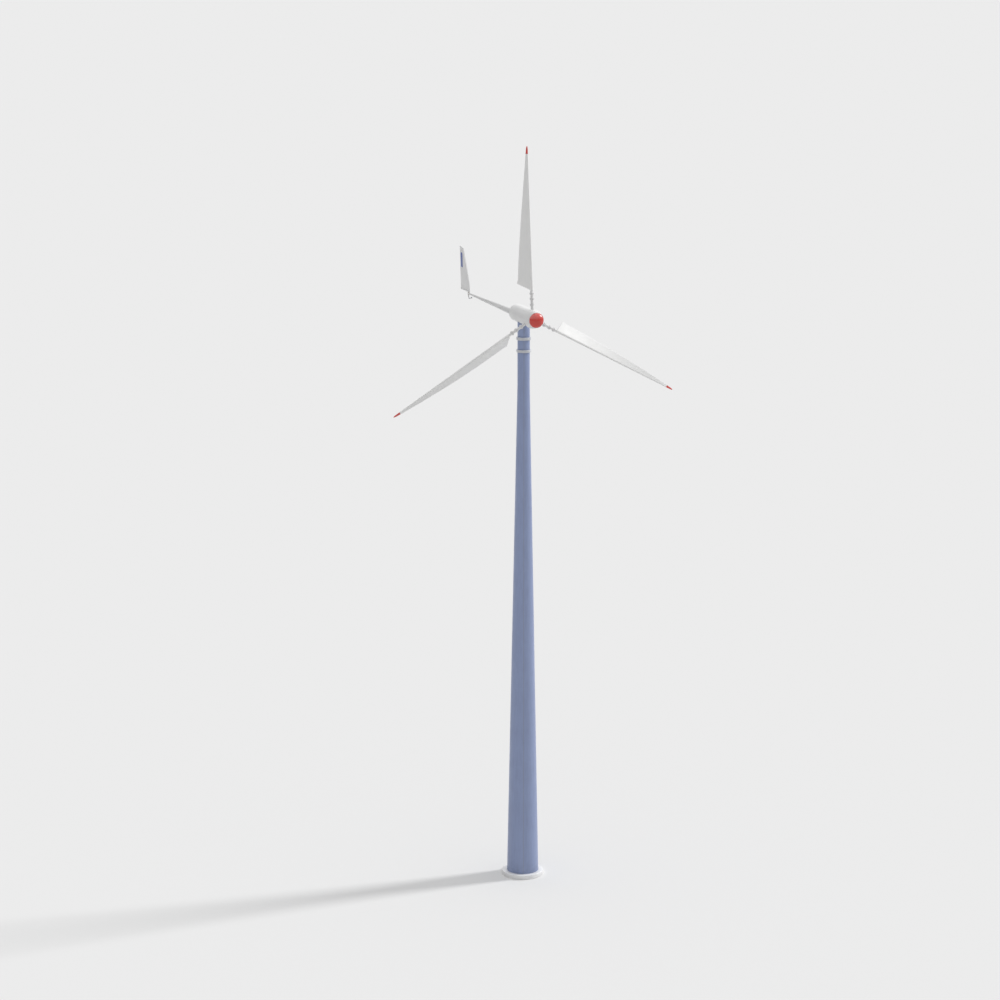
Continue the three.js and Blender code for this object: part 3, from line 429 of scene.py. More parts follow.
def painted(name, colour, deep, darken_level=None, darken_reach=0.1, shine=0.5, **values):
    """Sprayed paint, darker in broken-up patches near a level where one is given."""
    material, tree, shader, place = new_material(name, shine=shine)
    paint = use_group(tree, PAINT, place, colour=colour, deep_colour=deep, **values)
    colour_out = paint.outputs["Colour"]
    if darken_level is not None:
        darkening = use_group(tree, DARKENING, place, level=darken_level, reach=darken_reach)
        colour_out = mixed(tree, times(tree, darkening.outputs["Mask"], 0.5), colour_out, darkened(deep))
    dress(tree, shader, colour_out, paint.outputs["Roughness"], paint.outputs["Height"], PEEL_DEPTH, 0.35)
    return material


def tube_paint(name, colour, deep, **values):
    """Sprayed paint over a rolled tube, with its lengthwise weld showing as a faint line."""
    material, tree, shader, place = new_material(name)
    paint = use_group(tree, PAINT, place, colour=colour, deep_colour=deep, **values)
    # Darker in broken-up patches over the tower's lowest 120 mm, just above the disc.
    darkening = use_group(tree, DARKENING, place, level=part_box("base_cover")[1].z, reach=0.12)
    parts = axes(tree, place)
    facing = times(tree, parts["Y"], -1.0)
    off_weld = plus(tree, parts["X"], times(tree, facing, WELD_LEAN))
    weld = spread(tree, math_node(tree, "ABSOLUTE", off_weld), 2.5 * MM, 6 * MM, 1.0, 0.0)
    weld = times(tree, weld, math_node(tree, "GREATER_THAN", facing, 0.0))
    worn = mixed(tree, times(tree, weld, 0.35), paint.outputs["Colour"], grey(0.25))
    colour_out = mixed(tree, times(tree, darkening.outputs["Mask"], 0.4), worn, darkened(deep))
    height = plus(tree, paint.outputs["Height"], times(tree, weld, 2.0))
    dress(tree, shader, colour_out, paint.outputs["Roughness"], height, PEEL_DEPTH, 0.35)
    return material


def machined(name, colour, tarnish, stretch, **values):
    """Bare metal whose tool lines run round or along the piece, by the given stretch."""
    material, tree, shader, place = new_material(name, metallic=1.0)
    lines = stretched(tree, place, stretch)
    metal = use_group(tree, MACHINED, lines, colour=colour, tarnish_colour=tarnish, **values).outputs
    dress(tree, shader, metal["Colour"], metal["Roughness"], metal["Height"], 0.03 * MM, 0.5)
    return material


def grained(name, colour, hollow, metallic, depth, **values):
    """A cast metal or moulded plastic skin whose pebbles are of the given depth."""
    material, tree, shader, place = new_material(name, metallic=metallic)
    skin = use_group(tree, GRAIN, place, colour=colour, hollow_colour=hollow, **values).outputs
    dress(tree, shader, skin["Colour"], skin["Roughness"], skin["Height"], depth, 0.6)
    return material


def banded(name, colour, gap_colour, metallic, pitch, distortion=0.2):
    """Stacked sheets or wound wire: narrow bands along the rotor axis."""
    material, tree, shader, place = new_material(name, metallic=metallic)
    bands = add(tree, "TexWave", wave_type="BANDS", bands_direction="Y")
    tree.links.new(place, bands.inputs["Vector"])
    bands.inputs["Scale"].default_value = math.pi / (10 * pitch)
    bands.inputs["Distortion"].default_value = distortion
    rough = spread(tree, noise(tree, place, 60.0, 4), 0.3, 0.7, 0.3, 0.5)
    colour_out = mixed(tree, bands.outputs["Fac"], gap_colour, colour)
    dress(tree, shader, colour_out, rough, bands.outputs["Fac"], 0.3 * pitch)
    return material


def vane_paint():
    """The head's white paint with a plain blue band and a pale line near the fin's rear edge."""
    material, tree, shader, place = new_material("vane_paint", shine=0.3)
    paint = use_group(
        tree, PAINT, place, colour=grey(0.76), deep_colour=(0.71, 0.713, 0.718, 1), roughness=0.38,
        **HEAD_PATTERN,
    )
    parts = axes(tree, place)
    height = math_node(tree, "SUBTRACT", parts["Z"], HUB.z)
    lean = (FIN_TOP_REAR - FIN_FOOT_REAR) / (FIN_TOP - FIN_FOOT)
    edge_start = PIVOT.y + (FIN_FOOT_REAR - FIN_FOOT * lean) * MM
    rear_edge = plus(tree, times(tree, height, lean), edge_start)
    inset = math_node(tree, "SUBTRACT", rear_edge, parts["Y"])

    def between(value, low, high, soft):
        rising = spread(tree, value, low - soft, low + soft)
        falling = spread(tree, value, high - soft, high + soft, 1.0, 0.0)
        return times(tree, rising, falling)

    edge = 0.6 * MM
    tall = between(height, 246 * MM, 403 * MM, edge)
    band = times(tree, tall, between(inset, 30 * MM, 84 * MM, edge))
    line = times(tree, tall, between(inset, 16 * MM, 24 * MM, edge))
    colour = mixed(tree, line, paint.outputs["Colour"], (0.30, 0.42, 0.72, 1))
    colour = mixed(tree, band, colour, (0.05, 0.09, 0.33, 1))
    dress(tree, shader, colour, paint.outputs["Roughness"], paint.outputs["Height"], PEEL_DEPTH, 0.35)
    return material


def blade_finish(name, colour, deep, swell_colour=None):
    """Paint whose patterns are drawn in the blade's own frame, with greyer swells on a rod."""
    material, tree, shader, _ = new_material(name, shine=0.2)
    place = add(tree, "Attribute", attribute_name="blade_place").outputs["Vector"]
    paint = use_group(
        tree, PAINT, place, colour=colour, deep_colour=deep, cloud_scale=5.0, cloud_amount=0.25,
        run_scale=90.0, run_amount=0.3, peel_scale=220.0, roughness=0.5,
    )
    colour_out = paint.outputs["Colour"]
    if swell_colour:
        flat = stretched(tree, place, (1, 1, 1e6))
        off_axis = add(tree, "VectorMath", operation="LENGTH")
        tree.links.new(flat, off_axis.inputs[0])
        on_swell = spread(tree, off_axis.outputs["Value"], (ROD_RADIUS + 1) * MM, (ROD_RADIUS + 3) * MM)
        colour_out = mixed(tree, on_swell, colour_out, swell_colour)
    dress(tree, shader, colour_out, paint.outputs["Roughness"], paint.outputs["Height"], 0.2 * MM, 0.3)
    return material


def make_materials():
    """A finish for each of the record's material slots, and four that stand in for one of them."""
    return {
        "tower_paint": tube_paint(
            "tower_paint", (0.273, 0.335, 0.530, 1), (0.246, 0.297, 0.468, 1), cloud_scale=3.0,
            cloud_amount=0.45, run_scale=55.0, run_amount=0.55, peel_scale=300.0, roughness=0.42,
        ),
        # The disc is darker in broken-up patches over its lowest 12 mm, down to the floor.
        "cover_paint": painted(
            "cover_paint", grey(0.86), (0.80, 0.80, 0.81, 1), darken_level=0.0, darken_reach=0.012,
            cloud_scale=9.0, cloud_amount=0.4, run_scale=70.0, run_amount=0.2, roughness=0.4,
        ),
        "collar_paint": painted(
            "collar_paint", (0.60, 0.615, 0.65, 1), (0.52, 0.53, 0.56, 1), cloud_scale=12.0,
            cloud_amount=0.5, run_scale=80.0, run_amount=0.2, roughness=0.42,
        ),
        "head_paint": painted(
            "head_paint", grey(0.76), (0.71, 0.713, 0.718, 1), shine=0.16, roughness=0.4, **HEAD_PATTERN,
        ),
        "boom_paint": painted(
            "boom_paint", grey(0.72), (0.67, 0.673, 0.678, 1), shine=0.05, roughness=0.5, **HEAD_PATTERN,
        ),
        "blade_shell": blade_finish("blade_gelcoat", (0.82, 0.82, 0.815, 1), (0.78, 0.78, 0.775, 1)),
        "rod_paint": blade_finish("rod_paint", grey(0.75), grey(0.70), (0.65, 0.65, 0.655, 1)),
        "signal_red": painted(
            "signal_red", (0.60, 0.050, 0.040, 1), (0.52, 0.040, 0.032, 1), shine=0.55,
            cloud_scale=9.0, cloud_amount=0.3, run_scale=60.0, run_amount=0.2, roughness=0.24,
        ),
        "structural_steel": machined(
            "structural_steel", grey(0.46), (0.30, 0.29, 0.28, 1), (1, 1, 1), line_scale=300.0,
            roughness=0.38,
        ),
        "zinc_coat": painted(
            "zinc_coat", (0.56, 0.565, 0.58, 1), (0.44, 0.445, 0.46, 1), cloud_scale=60.0,
            cloud_amount=0.6, run_scale=150.0, run_amount=0.2, roughness=0.45,
        ),
        "bearing_steel": machined(
            "bearing_steel", grey(0.62), (0.50, 0.50, 0.49, 1), (1, 1, 1), line_scale=1200.0,
            roughness=0.18,
        ),
        "laminations": banded("laminations", grey(0.22), grey(0.05), 0.8, 1.0 * MM),
        "copper": banded("copper", (0.62, 0.24, 0.10, 1), (0.22, 0.07, 0.03, 1), 0.9, 1.2 * MM, 1.0),
        "magnet": machined(
            "magnet", (0.40, 0.41, 0.43, 1), grey(0.28), (1, 1, 1), line_scale=500.0, roughness=0.3,
        ),
        "cast_aluminium": grained(
            "cast_aluminium", (0.60, 0.61, 0.62, 1), (0.42, 0.43, 0.44, 1), 0.9, 0.25 * MM,
            cell_scale=350.0, roughness=0.42,
        ),
        "cable_sheath": grained(
            "cable_sheath", grey(0.016), grey(0.008), 0.0, 0.1 * MM, cell_scale=900.0, roughness=0.62,
        ),
        "dark_plastic": grained(
            "dark_plastic", grey(0.035), grey(0.02), 0.0, 0.12 * MM, cell_scale=700.0, roughness=0.5,
        ),
        "bronze": machined(
            "bronze", (0.52, 0.34, 0.14, 1), (0.30, 0.18, 0.08, 1), (1, 1, 6), line_scale=700.0,
            roughness=0.32,
        ),
    }


# ------------------------------------------------------------------ modelling helpers


def only(piece):
    """Makes a piece the only one selected, and the active one."""
    bpy.ops.object.select_all(action="DESELECT")
    piece.select_set(True)
    bpy.context.view_layer.objects.active = piece


def pull(offset):
    """In edit mode: draws what is selected out by the offset."""
    bpy.ops.mesh.extrude_region_move(TRANSFORM_OT_translate={"value": offset})


def trace(points, closed=False):
    """In edit mode: one new corner drawn out along the points."""
    bpy.ops.mesh.primitive_plane_add(size=MM)
    bpy.ops.mesh.merge(type="CENTER")
    bpy.ops.transform.translate(value=points[0])
    route = list(points) + [points[0]] if closed else list(points)
    for here, there in zip(route, route[1:]):
        pull(there - here)


def open_piece(name):
    """A new object in edit mode with nothing in it."""
    bpy.ops.object.select_all(action="DESELECT")
    bpy.ops.mesh.primitive_plane_add(size=MM)
    piece = bpy.context.object
    piece.name = name
    piece.data.name = name
    bpy.ops.object.mode_set(mode="EDIT")
    bpy.ops.mesh.delete(type="VERT")
    return piece


def close_piece(piece):
    """Merges doubled corners, turns the faces outwards and leaves edit mode."""
    bpy.ops.mesh.select_all(action="SELECT")
    bpy.ops.mesh.remove_doubles(threshold=DOUBLES)
    bpy.ops.mesh.normals_make_consistent(inside=False)
    bpy.ops.object.mode_set(mode="OBJECT")
    return piece


def turned(name, profile, axis, centre, faces):
    """A profile of (radius, place along the axis) in millimetres, spun round the axis.

    A profile that starts off the axis is closed back to its start.
    """
    across = SIDE if abs(axis.dot(SIDE)) < 0.5 else BACK
    piece = open_piece(name)
    points = [centre + across * radius * MM + axis * along * MM for radius, along in profile]
    trace(points, closed=profile[0][0] * MM > DOUBLES)
    bpy.ops.mesh.select_all(action="SELECT")
    bpy.ops.mesh.spin(steps=faces, angle=2 * math.pi, center=centre, axis=axis)
    return close_piece(piece)


def drawn(name, outline, direction):
    """A flat closed outline, filled and drawn out by the given vector."""
    piece = open_piece(name)
    trace(outline, closed=True)
    bpy.ops.mesh.select_all(action="SELECT")
    bpy.ops.mesh.remove_doubles(threshold=DOUBLES)
    bpy.ops.mesh.edge_face_add()
    pull(direction)
    return close_piece(piece)


def lofted(name, rings):
    """Closed rings of equally many points, bridged in order and filled at both ends."""
    piece = open_piece(name)
    for ring in rings:
        trace(ring, closed=True)
    bpy.ops.mesh.select_all(action="SELECT")
    bpy.ops.mesh.remove_doubles(threshold=DOUBLES)
    bpy.ops.mesh.bridge_edge_loops()
    bpy.ops.mesh.select_all(action="SELECT")
    bpy.ops.mesh.fill_holes(sides=0)
    return close_piece(piece)


def apply_modifier(piece, kind, **settings):
    only(piece)
    modifier = piece.modifiers.new(kind.title(), kind)
    for key, value in settings.items():
        setattr(modifier, key, value)
    bpy.ops.object.modifier_apply(modifier=modifier.name)


def soften(piece, width, segments=3, angle=30):
    """Rounds every edge sharper than the angle, then shades the rest smooth."""
    apply_modifier(
        piece, "BEVEL", width=width, segments=segments, limit_method="ANGLE",
        angle_limit=math.radians(angle), use_clamp_overlap=True, harden_normals=False,
    )
    return smoothed(piece)


def smoothed(piece):
    """Shades every edge smooth but the sharp ones."""
    only(piece)
    bpy.ops.object.shade_smooth_by_angle(angle=SMOOTH_ANGLE)
    return piece


def combine(piece, tool, operation, solver="EXACT"):
    """Joins or cuts a piece with a tool solid, which is then gone."""
    apply_modifier(piece, "BOOLEAN", object=tool, operation=operation, solver=solver)
    bpy.data.objects.remove(tool)


def settled(name):
    """Names the new object and puts its origin, turn and scale back to plain."""
    piece = bpy.context.object
    piece.name = name
    piece.data.name = name
    bpy.ops.object.transform_apply(location=True, rotation=True, scale=True)
    return piece


def rod(name, radius, start, end, faces):
    """A plain round rod between two points, used as a cutting tool or a start."""
    way = end - start
    bpy.ops.object.select_all(action="DESELECT")
    bpy.ops.mesh.primitive_cylinder_add(
        vertices=faces, radius=radius, depth=way.length, location=(start + end) / 2,
        rotation=way.to_track_quat("Z", "Y").to_euler(),
    )
    return settled(name)


def drill(piece, radius, start, end, faces=ROUND_MEDIUM, solver="EXACT"):
    """Cuts a round hole of a radius in millimetres between two places."""
    combine(piece, rod("drill_tool", radius * MM, start, end, faces), "DIFFERENCE", solver)


def arc(centre_radius, centre_along, radius, start, end, steps, depth=None):
    """Profile points on an arc, by angle in degrees from the outward direction.

    A depth makes it an oval, with that radius along the axis.
    """
    points = []
    for i in range(steps + 1):
        angle = math.radians(start + (end - start) * i / steps)
        along = (radius if depth is None else depth) * math.sin(angle)
        points.append((centre_radius + radius * math.cos(angle), centre_along + along))
    return points


def square_ring(inner, outer, low, high):
    """The profile of a plain ring."""
    return [(inner, low), (outer, low), (outer, high), (inner, high)]


def flowing(points, steps):
    """A smooth line through the given (radius, along) points."""
    line = []
    last = len(points) - 1
    for i in range(last):
        before, here, there, after = (Vector(points[min(max(k, 0), last)]) for k in (i - 1, i, i + 1, i + 2))
        for step in range(steps):
            t = step / steps
            spot = 0.5 * (
                2 * here
                + (there - before) * t
                + (2 * before - 5 * here + 4 * there - after) * t ** 2
                + (3 * here - before - 3 * there + after) * t ** 3
            )
            line.append(tuple(spot))
    line.append(tuple(points[-1]))
    return line


def finished(piece, body, slot, nodes, material=None):
    """Gives a piece its finish, its body and the nodes that it stands for.

    A material is named only where it isn't that of the slot.
    """
    piece.data.materials.clear()
    piece.data.materials.append(material or MATERIALS[slot])
    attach(piece, body)
    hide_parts(*nodes)


def opened_copy(piece, name):
    """A copy with its own mesh, in edit mode with all of it selected."""
    only(piece)
    bpy.ops.object.duplicate()
    copy = bpy.context.object
    copy.name = name
    copy.data.name = name
    bpy.ops.object.mode_set(mode="EDIT")
    bpy.ops.mesh.select_all(action="SELECT")
    return copy


def turned_copy(piece, name, angle, axis="Y", centre=HUB):
    """A copy turned about an axis; about Y it turns clockwise seen from the front."""
    copy = opened_copy(piece, name)
    bpy.ops.transform.rotate(
        value=-angle, orient_axis=axis, orient_type="GLOBAL", center_override=centre,
    )
    bpy.ops.object.mode_set(mode="OBJECT")
    return copy


def block(name, centre, size, turn=0.0):
    """A plain box, turned about the direction of the rotor's axis."""
    bpy.ops.object.select_all(action="DESELECT")
    bpy.ops.mesh.primitive_cube_add(size=1, location=centre, rotation=(0, turn, 0), scale=size)
    return settled(name)


def tube(name, route, radius, steps):
    """A round cable that flows through the given places, in metres."""
    line = [Vector(spot) for spot in flowing([tuple(spot) for spot in route], steps)]
    rings = []
    across = SIDE
    for i, spot in enumerate(line):
        ahead = (line[min(i + 1, len(line) - 1)] - line[max(i - 1, 0)]).normalized()
        across = (across - ahead * across.dot(ahead)).normalized()
        other = ahead.cross(across)
        turns = [2 * math.pi * k / ROUND_CABLE for k in range(ROUND_CABLE)]
        rings.append([spot + (across * math.cos(turn) + other * math.sin(turn)) * radius for turn in turns])
    return lofted(name, rings)


def sealed_bearing(name, bore, outer, low, high, axis, centre, nodes, body):
    """A ball bearing with a shield set in between its rings on each side."""
    land = (outer - bore) * 0.3
    sunk = 1.2
    inner_land, outer_land = bore + land, outer - land
    race = turned(name, [
        (bore, low), (inner_land, low), (inner_land, low + sunk), (outer_land, low + sunk),
        (outer_land, low), (outer, low), (outer, high), (outer_land, high),
        (outer_land, high - sunk), (inner_land, high - sunk), (inner_land, high), (bore, high),
    ], axis, centre, ROUND_LARGE)
    finished(soften(race, 0.5 * MM, 2), body, "bearing_steel", nodes)


def shifted_copy(piece, name, offset):
    copy = opened_copy(piece, name)
    bpy.ops.transform.translate(value=offset)
    bpy.ops.object.mode_set(mode="OBJECT")
    return copy


def radial(angle):
    """The direction of a blade's axis: up at angle 0, turning clockwise seen from the front."""
    return UP * math.cos(angle) + SIDE * math.sin(angle)


# ------------------------------------------------------------------ foundation and tower


def tower_radius(height):
    """The tube's outer radius in millimetres, from the box of its node."""
    low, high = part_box("tower_tube")
    foot = high.x / MM
    share = max(0, TAPER_TOP - height) / (TAPER_TOP - low.z / MM)
    return TOP_RADIUS + share * (foot - TOP_RADIUS)


def build_foundation():
    """The disc round the tower's foot, and the tapered tube itself."""
    low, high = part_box("base_cover")
    radius = high.x / MM
    height = high.z / MM
    wall = 3
    edge = 4
    hole = tower_radius(height - wall) + 0.7
    cover = turned("base_disc", [
        (hole, height - wall),
        *arc(radius - wall - 2, height - wall - 2, 2, 90, 0, 5),
        (radius - wall, 0),
        (radius, 0),
        *arc(radius - edge, height - edge, edge, 0, 90, 8),
        (hole, height),
    ], UP, ORIGIN, ROUND_LARGE)
    finished(soften(cover, 0.5 * MM, 2), "tower", "cover_paint", ["base_cover"])

    low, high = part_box("tower_tube")
    foot, top = low.z / MM, high.z / MM
    levels = [foot + (TAPER_TOP - foot) * i / 24 for i in range(25)]
    mast = turned("tower_mast", [
        (tower_radius(foot) - TUBE_WALL, foot),
        *[(tower_radius(level), level) for level in levels],
        (TOP_RADIUS, top),
        (TOP_RADIUS - TUBE_WALL, top),
        (TOP_RADIUS - TUBE_WALL, TAPER_TOP),
    ], UP, ORIGIN, ROUND_LARGE)
    finished(soften(mast, 0.8 * MM, 2), "tower", "tower_paint", ["tower_tube"])


def build_anchorage():
    """The plate on the foundation, its bolts, and the gland that the cable leaves through."""
    circle = 188 * MM
    bolt_radius = 8
    washer_radius = 15
    outlet = BACK * 60 * MM
    outlet_radius = 16
    places = [math.radians(30 + 60 * i) for i in range(6)]
    spots = [SIDE * circle * math.cos(angle) + BACK * circle * math.sin(angle) for angle in places]
    plate_profile = [(0, 0), (208, 0), (208, FOOT_PLATE), (0, FOOT_PLATE)]
    plate = turned("foot_plate", plate_profile, UP, ORIGIN, ROUND_LARGE)
    for spot in spots:
        drill(plate, bolt_radius + CLEARANCE, spot - UP * 0.01, spot + UP * 0.04, ROUND_SMALL)
    drill(plate, outlet_radius, outlet - UP * 0.01, outlet + UP * 0.04)
    finished(soften(plate, 1.0 * MM, 3), "tower", "structural_steel", ["base_plate"])

    first = spots[0]
    seat = FOOT_PLATE + CLEARANCE
    head_bottom = seat + 3
    head_top = head_bottom + 10
    bolt = turned("foot_bolt_1", [
        (0, 0.3), (7, 0.3), (bolt_radius, 1.3), (bolt_radius, seat), (washer_radius, seat),
        (washer_radius, head_bottom), (0, head_bottom),
    ], UP, first, ROUND_SMALL)
    head = rod("bolt_head", 13 * MM, first + UP * (head_bottom - 1) * MM, first + UP * head_top * MM, 6)
    crown = turned("crown_tool", [
        (0, head_bottom - 2), (14, head_bottom - 2), (14, head_top - 1.6), (11.3, head_top), (0, head_top),
    ], UP, first, ROUND_SMALL)
    combine(head, crown, "INTERSECT")
    combine(bolt, head, "UNION")
    soften(bolt, 0.4 * MM, 2)
    bolts = [bolt]
    for number in range(2, 7):
        turn = math.radians(60 * (number - 1))
        bolts.append(turned_copy(bolt, f"foot_bolt_{number}", turn, "Z", ORIGIN))
    left = {}
    for i in range(1, 7):
        low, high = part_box(f"anchor_bolt_{i}")
        left[f"anchor_bolt_{i}"] = (low + high) / 2
    for piece in bolts:
        corners = [corner.co for corner in piece.data.vertices]
        centre = sum(corners, Vector()) / len(corners)
        node = min(left, key=lambda name: (left[name].xy - centre.xy).length)
        del left[node]
        finished(piece, "tower", "structural_steel", [node], MATERIALS["zinc_coat"])

    bore = CABLE_RADIUS + CLEARANCE
    gland = turned("outlet_gland", [
        (bore, 2), (15.4, 2), (15.4, seat), (20, seat), (20, FOOT_PLATE + 7), (14, FOOT_PLATE + 7),
        *arc(9, FOOT_PLATE + 11.5, 4.5, 0, 90, 6), (bore, FOOT_PLATE + 16),
    ], UP, outlet, ROUND_SMALL)
    finished(soften(gland, 0.6 * MM, 3), "tower", "dark_plastic", ["cable_gland"])


def build_yaw_gear():
    """Bearings, hollow shaft, slip rings and brushes inside the top of the tower."""
    for name, node in (("yaw_race_lower", "yaw_bearing_lower"), ("yaw_race_upper", "yaw_bearing_upper")):
        low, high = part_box(node)
        sealed_bearing(name, 30.4, 50, low.z / MM, high.z / MM, UP, ORIGIN, [node], "tower")

    low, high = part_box("yaw_shaft")
    foot, top = low.z / MM, high.z / MM
    flange = top - 12
    shaft = turned("hollow_yaw_shaft", [
        (18, foot), (30, foot), (30, flange), (55.7, flange), (55.7, top), (18, top),
    ], UP, ORIGIN, ROUND_LARGE)
    finished(soften(shaft, 1.0 * MM, 3), "head", "structural_steel", ["yaw_shaft"])

    low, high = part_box("slip_ring")
    foot, top = low.z / MM, high.z / MM
    ring, groove = 8, 4
    levels = [foot + (ring + groove) * i for i in range(3)]
    line = [(31, foot)]
    for level in levels:
        line += [(41, level), (41, level + ring)]
        if level < levels[-1]:
            line += [(38, level + ring), (38, level + ring + groove)]
    line.append((31, top))
    rings = turned("collector_rings", line, UP, ORIGIN, ROUND_LARGE)
    finished(soften(rings, 0.4 * MM, 2), "head", "copper", ["slip_ring"])

    low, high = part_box("brush_block")
    brushes = block("brush_holder", (low + high) / 2, high - low)
    soften(brushes, 1.0 * MM, 3)
    for level in levels:
        middle = Vector((high.x, 0, (level + ring / 2) * MM))
        slot = block("brush_slot_tool", middle, Vector((0.004, 0.009, 0.004)))
        combine(brushes, slot, "DIFFERENCE")
    finished(brushes, "tower", "dark_plastic", ["brush_block"])

    brush_x = (low.x + high.x) / 2 / MM
    route = [
        (brush_x, 0, 5567.7), (brush_x, 0, 5480), (40, 12, 5150), (30, 30, 4200), (22, 44, 3000),
        (12, 54, 1700), (4, 59, 700), (0, 60, 160), (0, 60, 80), (0, 60, 0.3),
    ]
    cable = tube("down_cable", [Vector(spot) * MM for spot in route], CABLE_RADIUS * MM, 5)
    finished(soften(cable, 0.3 * MM, 1), "tower", "cable_sheath", ["tower_cable"])

    route = [(-83.7, 70), (-62, 71), (-34, 76), (-10, 96), (0, 128), (0, 180), (0, 300), (0, 410)]
    lead = [HEAD + BACK * y * MM - UP * down * MM for y, down in route]
    cable = tube("head_lead", lead, CABLE_RADIUS * MM, 5)
    finished(soften(cable, 0.3 * MM, 1), "head", "cable_sheath", ["head_cable"])


def build_collar(name, node, body, inner):
    """A rounded band the size of its node."""
    low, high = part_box(node)
    band = turned(name, square_ring(inner, high.x / MM, low.z / MM, high.z / MM), UP, ORIGIN, ROUND_LARGE)
    finished(soften(band, 3.0 * MM, 5), body, "cover_paint", [node], MATERIALS["collar_paint"])


def build_stub():
    """The top stub of the tower and the neck of the head, with the collars round them."""
    neck_bore = 56
    build_collar("lower_band", "lower_collar", "tower", TOP_RADIUS + CLEARANCE)
    build_collar("upper_band", "upper_collar", "head", neck_bore)
    low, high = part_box("tower_adapter")
    bottom, top = low.z / MM, high.z / MM
    tube_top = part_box("tower_tube")[1].z / MM + CLEARANCE
    ledge = 5636
    stub = turned("tower_stub", [
        (54, bottom), (58.5, bottom), (58.5, tube_top), (TOP_RADIUS, tube_top), (TOP_RADIUS, top),
        (50.3, top), (50.3, ledge + 10), (38, ledge + 10), (38, ledge), (54, ledge),
    ], UP, ORIGIN, ROUND_LARGE)
    finished(soften(stub, 0.8 * MM, 2), "tower", "tower_paint", ["tower_adapter"])

    low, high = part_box("yaw_neck")
    neck_profile = square_ring(neck_bore, high.x / MM, low.z / MM, high.z / MM + 30)
    neck = turned("neck_tube", neck_profile, UP, ORIGIN, ROUND_LARGE)
    saddle = CASING_FRONT_RADIUS + CLEARANCE
    drill(neck, saddle, HEAD - BACK * 0.2, HEAD + BACK * 0.2, 2 * ROUND_LARGE)
    finished(soften(neck, 0.6 * MM, 2), "head", "tower_paint", ["yaw_neck"])


# ------------------------------------------------------------------ nacelle


def build_nacelle():
    """The casing and the domed rear cover with the boss that holds the boom."""
    low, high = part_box("nacelle_casing")
    front, rear = low.y / MM, high.y / MM
    taper_end = 120
    front_radius, rear_radius, wall = CASING_FRONT_RADIUS, CASING_REAR_RADIUS, CASING_WALL
    casing = turned("nacelle_shell", [
        (front_radius - wall, front), (front_radius, front), (rear_radius, taper_end), (rear_radius, rear),
        (rear_radius - wall, rear), (rear_radius - wall, taper_end),
    ], BACK, HEAD, ROUND_LARGE)
    drill(casing, 50, HEAD - UP * 0.12, HEAD - UP * 0.05, ROUND_LARGE)
    finished(soften(casing, 1.2 * MM, 4), "head", "head_paint", ["nacelle_casing"])

    low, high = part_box("rear_cover")
    spigot_start, boss_end = low.y / MM, high.y / MM
    end = 228
    shoulder = 27
    spigot = rear_radius - wall - CLEARANCE
    cover = turned("rear_dome", [
        (spigot - wall, spigot_start), (spigot, spigot_start), (spigot, rear + CLEARANCE),
        *arc(rear_radius - shoulder, end - shoulder, shoulder, 0, 90, 16),
        (0, end), (0, end - wall),
        *arc(rear_radius - shoulder, end - shoulder, shoulder - wall, 90, 10, 8),
    ], BACK, HEAD, ROUND_LARGE)
    boss_radius = 39
    boss_start = 170
    fillet = 5
    boss = turned("boss_part", [
        (0, boss_start), (boss_radius, boss_start), (boss_radius, end - 6), (boss_radius + fillet, end - 2),
        *arc(boss_radius + fillet, end + fillet, fillet, 270, 180, 6),
        (boss_radius, boss_end), (0, boss_end),
    ], BACK, BOOM, ROUND_MEDIUM)
    combine(cover, boss, "UNION")
    drill(cover, BOOM_RADIUS + CLEARANCE, BOOM + BACK * 0.164, BOOM + BACK * 0.24)
    finished(soften(cover, 0.8 * MM, 3), "head", "head_paint", ["rear_cover"])


def build_alternator():
    """Shields, bearings, slotted stack and coils that stand still in the nacelle."""
    low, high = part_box("front_shield")
    front, rim = low.y / MM, high.x / MM
    shield = turned("front_end_plate", [
        (20, front), (rim, front), (rim, front + 16), (38, front + 16), (38, front + 29),
        (31.3, front + 29), (31.3, front + 9.5), (20, front + 9.5),
    ], BACK, HEAD, ROUND_LARGE)
    finished(soften(shield, 0.8 * MM, 3), "head", "cast_aluminium", ["front_shield"])

    low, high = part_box("rear_shield")
    rear, rim = high.y / MM, high.x / MM
    shield = turned("rear_end_plate", [
        (26.3, rear - 22), (33, rear - 22), (33, rear - 14), (rim, rear - 14), (rim, rear),
        (16, rear), (16, rear - 3.7), (26.3, rear - 3.7),
    ], BACK, HEAD, ROUND_LARGE)
    soften(shield, 0.8 * MM, 3)
    for i in range(6):
        spot = HEAD + radial(math.radians(60 * i + 30)) * 60 * MM
        drill(shield, 11, spot + BACK * 0.08, spot + BACK * 0.105, ROUND_SMALL, "MANIFOLD")
    finished(smoothed(shield), "head", "cast_aluminium", ["rear_shield"])

    sealed_bearing("front_race", 15.4, 31, -222, -204, BACK, HEAD, ["front_bearing"], "head")
    sealed_bearing("rear_race", 12.4, 26, 80, 96, BACK, HEAD, ["rear_bearing"], "head")

    stack = turned("stator_stack", square_ring(60.5, 84.2, -180, -100), BACK, HEAD, ROUND_LARGE)
    slots = [math.radians(30 * i) for i in range(12)]
    for angle in slots:
        spot = CORE + radial(angle) * 67 * MM
        combine(stack, block("slot_tool", spot, Vector((13, 100, 20)) * MM, angle), "DIFFERENCE")
    finished(soften(stack, 0.3 * MM, 1), "head", "laminations", ["stator_core"])

    ends = [turned(name, arc(70, along, 6, 180, 525, 23), BACK, HEAD, ROUND_LARGE)
            for name, along in (("coil_ends", -190), ("rear_ends_part", -90))]
    coils = ends[0]
    combine(coils, ends[1], "UNION")
    for angle in slots:
        spot = CORE + radial(angle) * 70 * MM
        combine(coils, block("coil_side_part", spot, Vector((10, 98, 8)) * MM, angle), "UNION")
    finished(soften(coils, 0.8 * MM, 2), "head", "copper", ["stator_winding"])


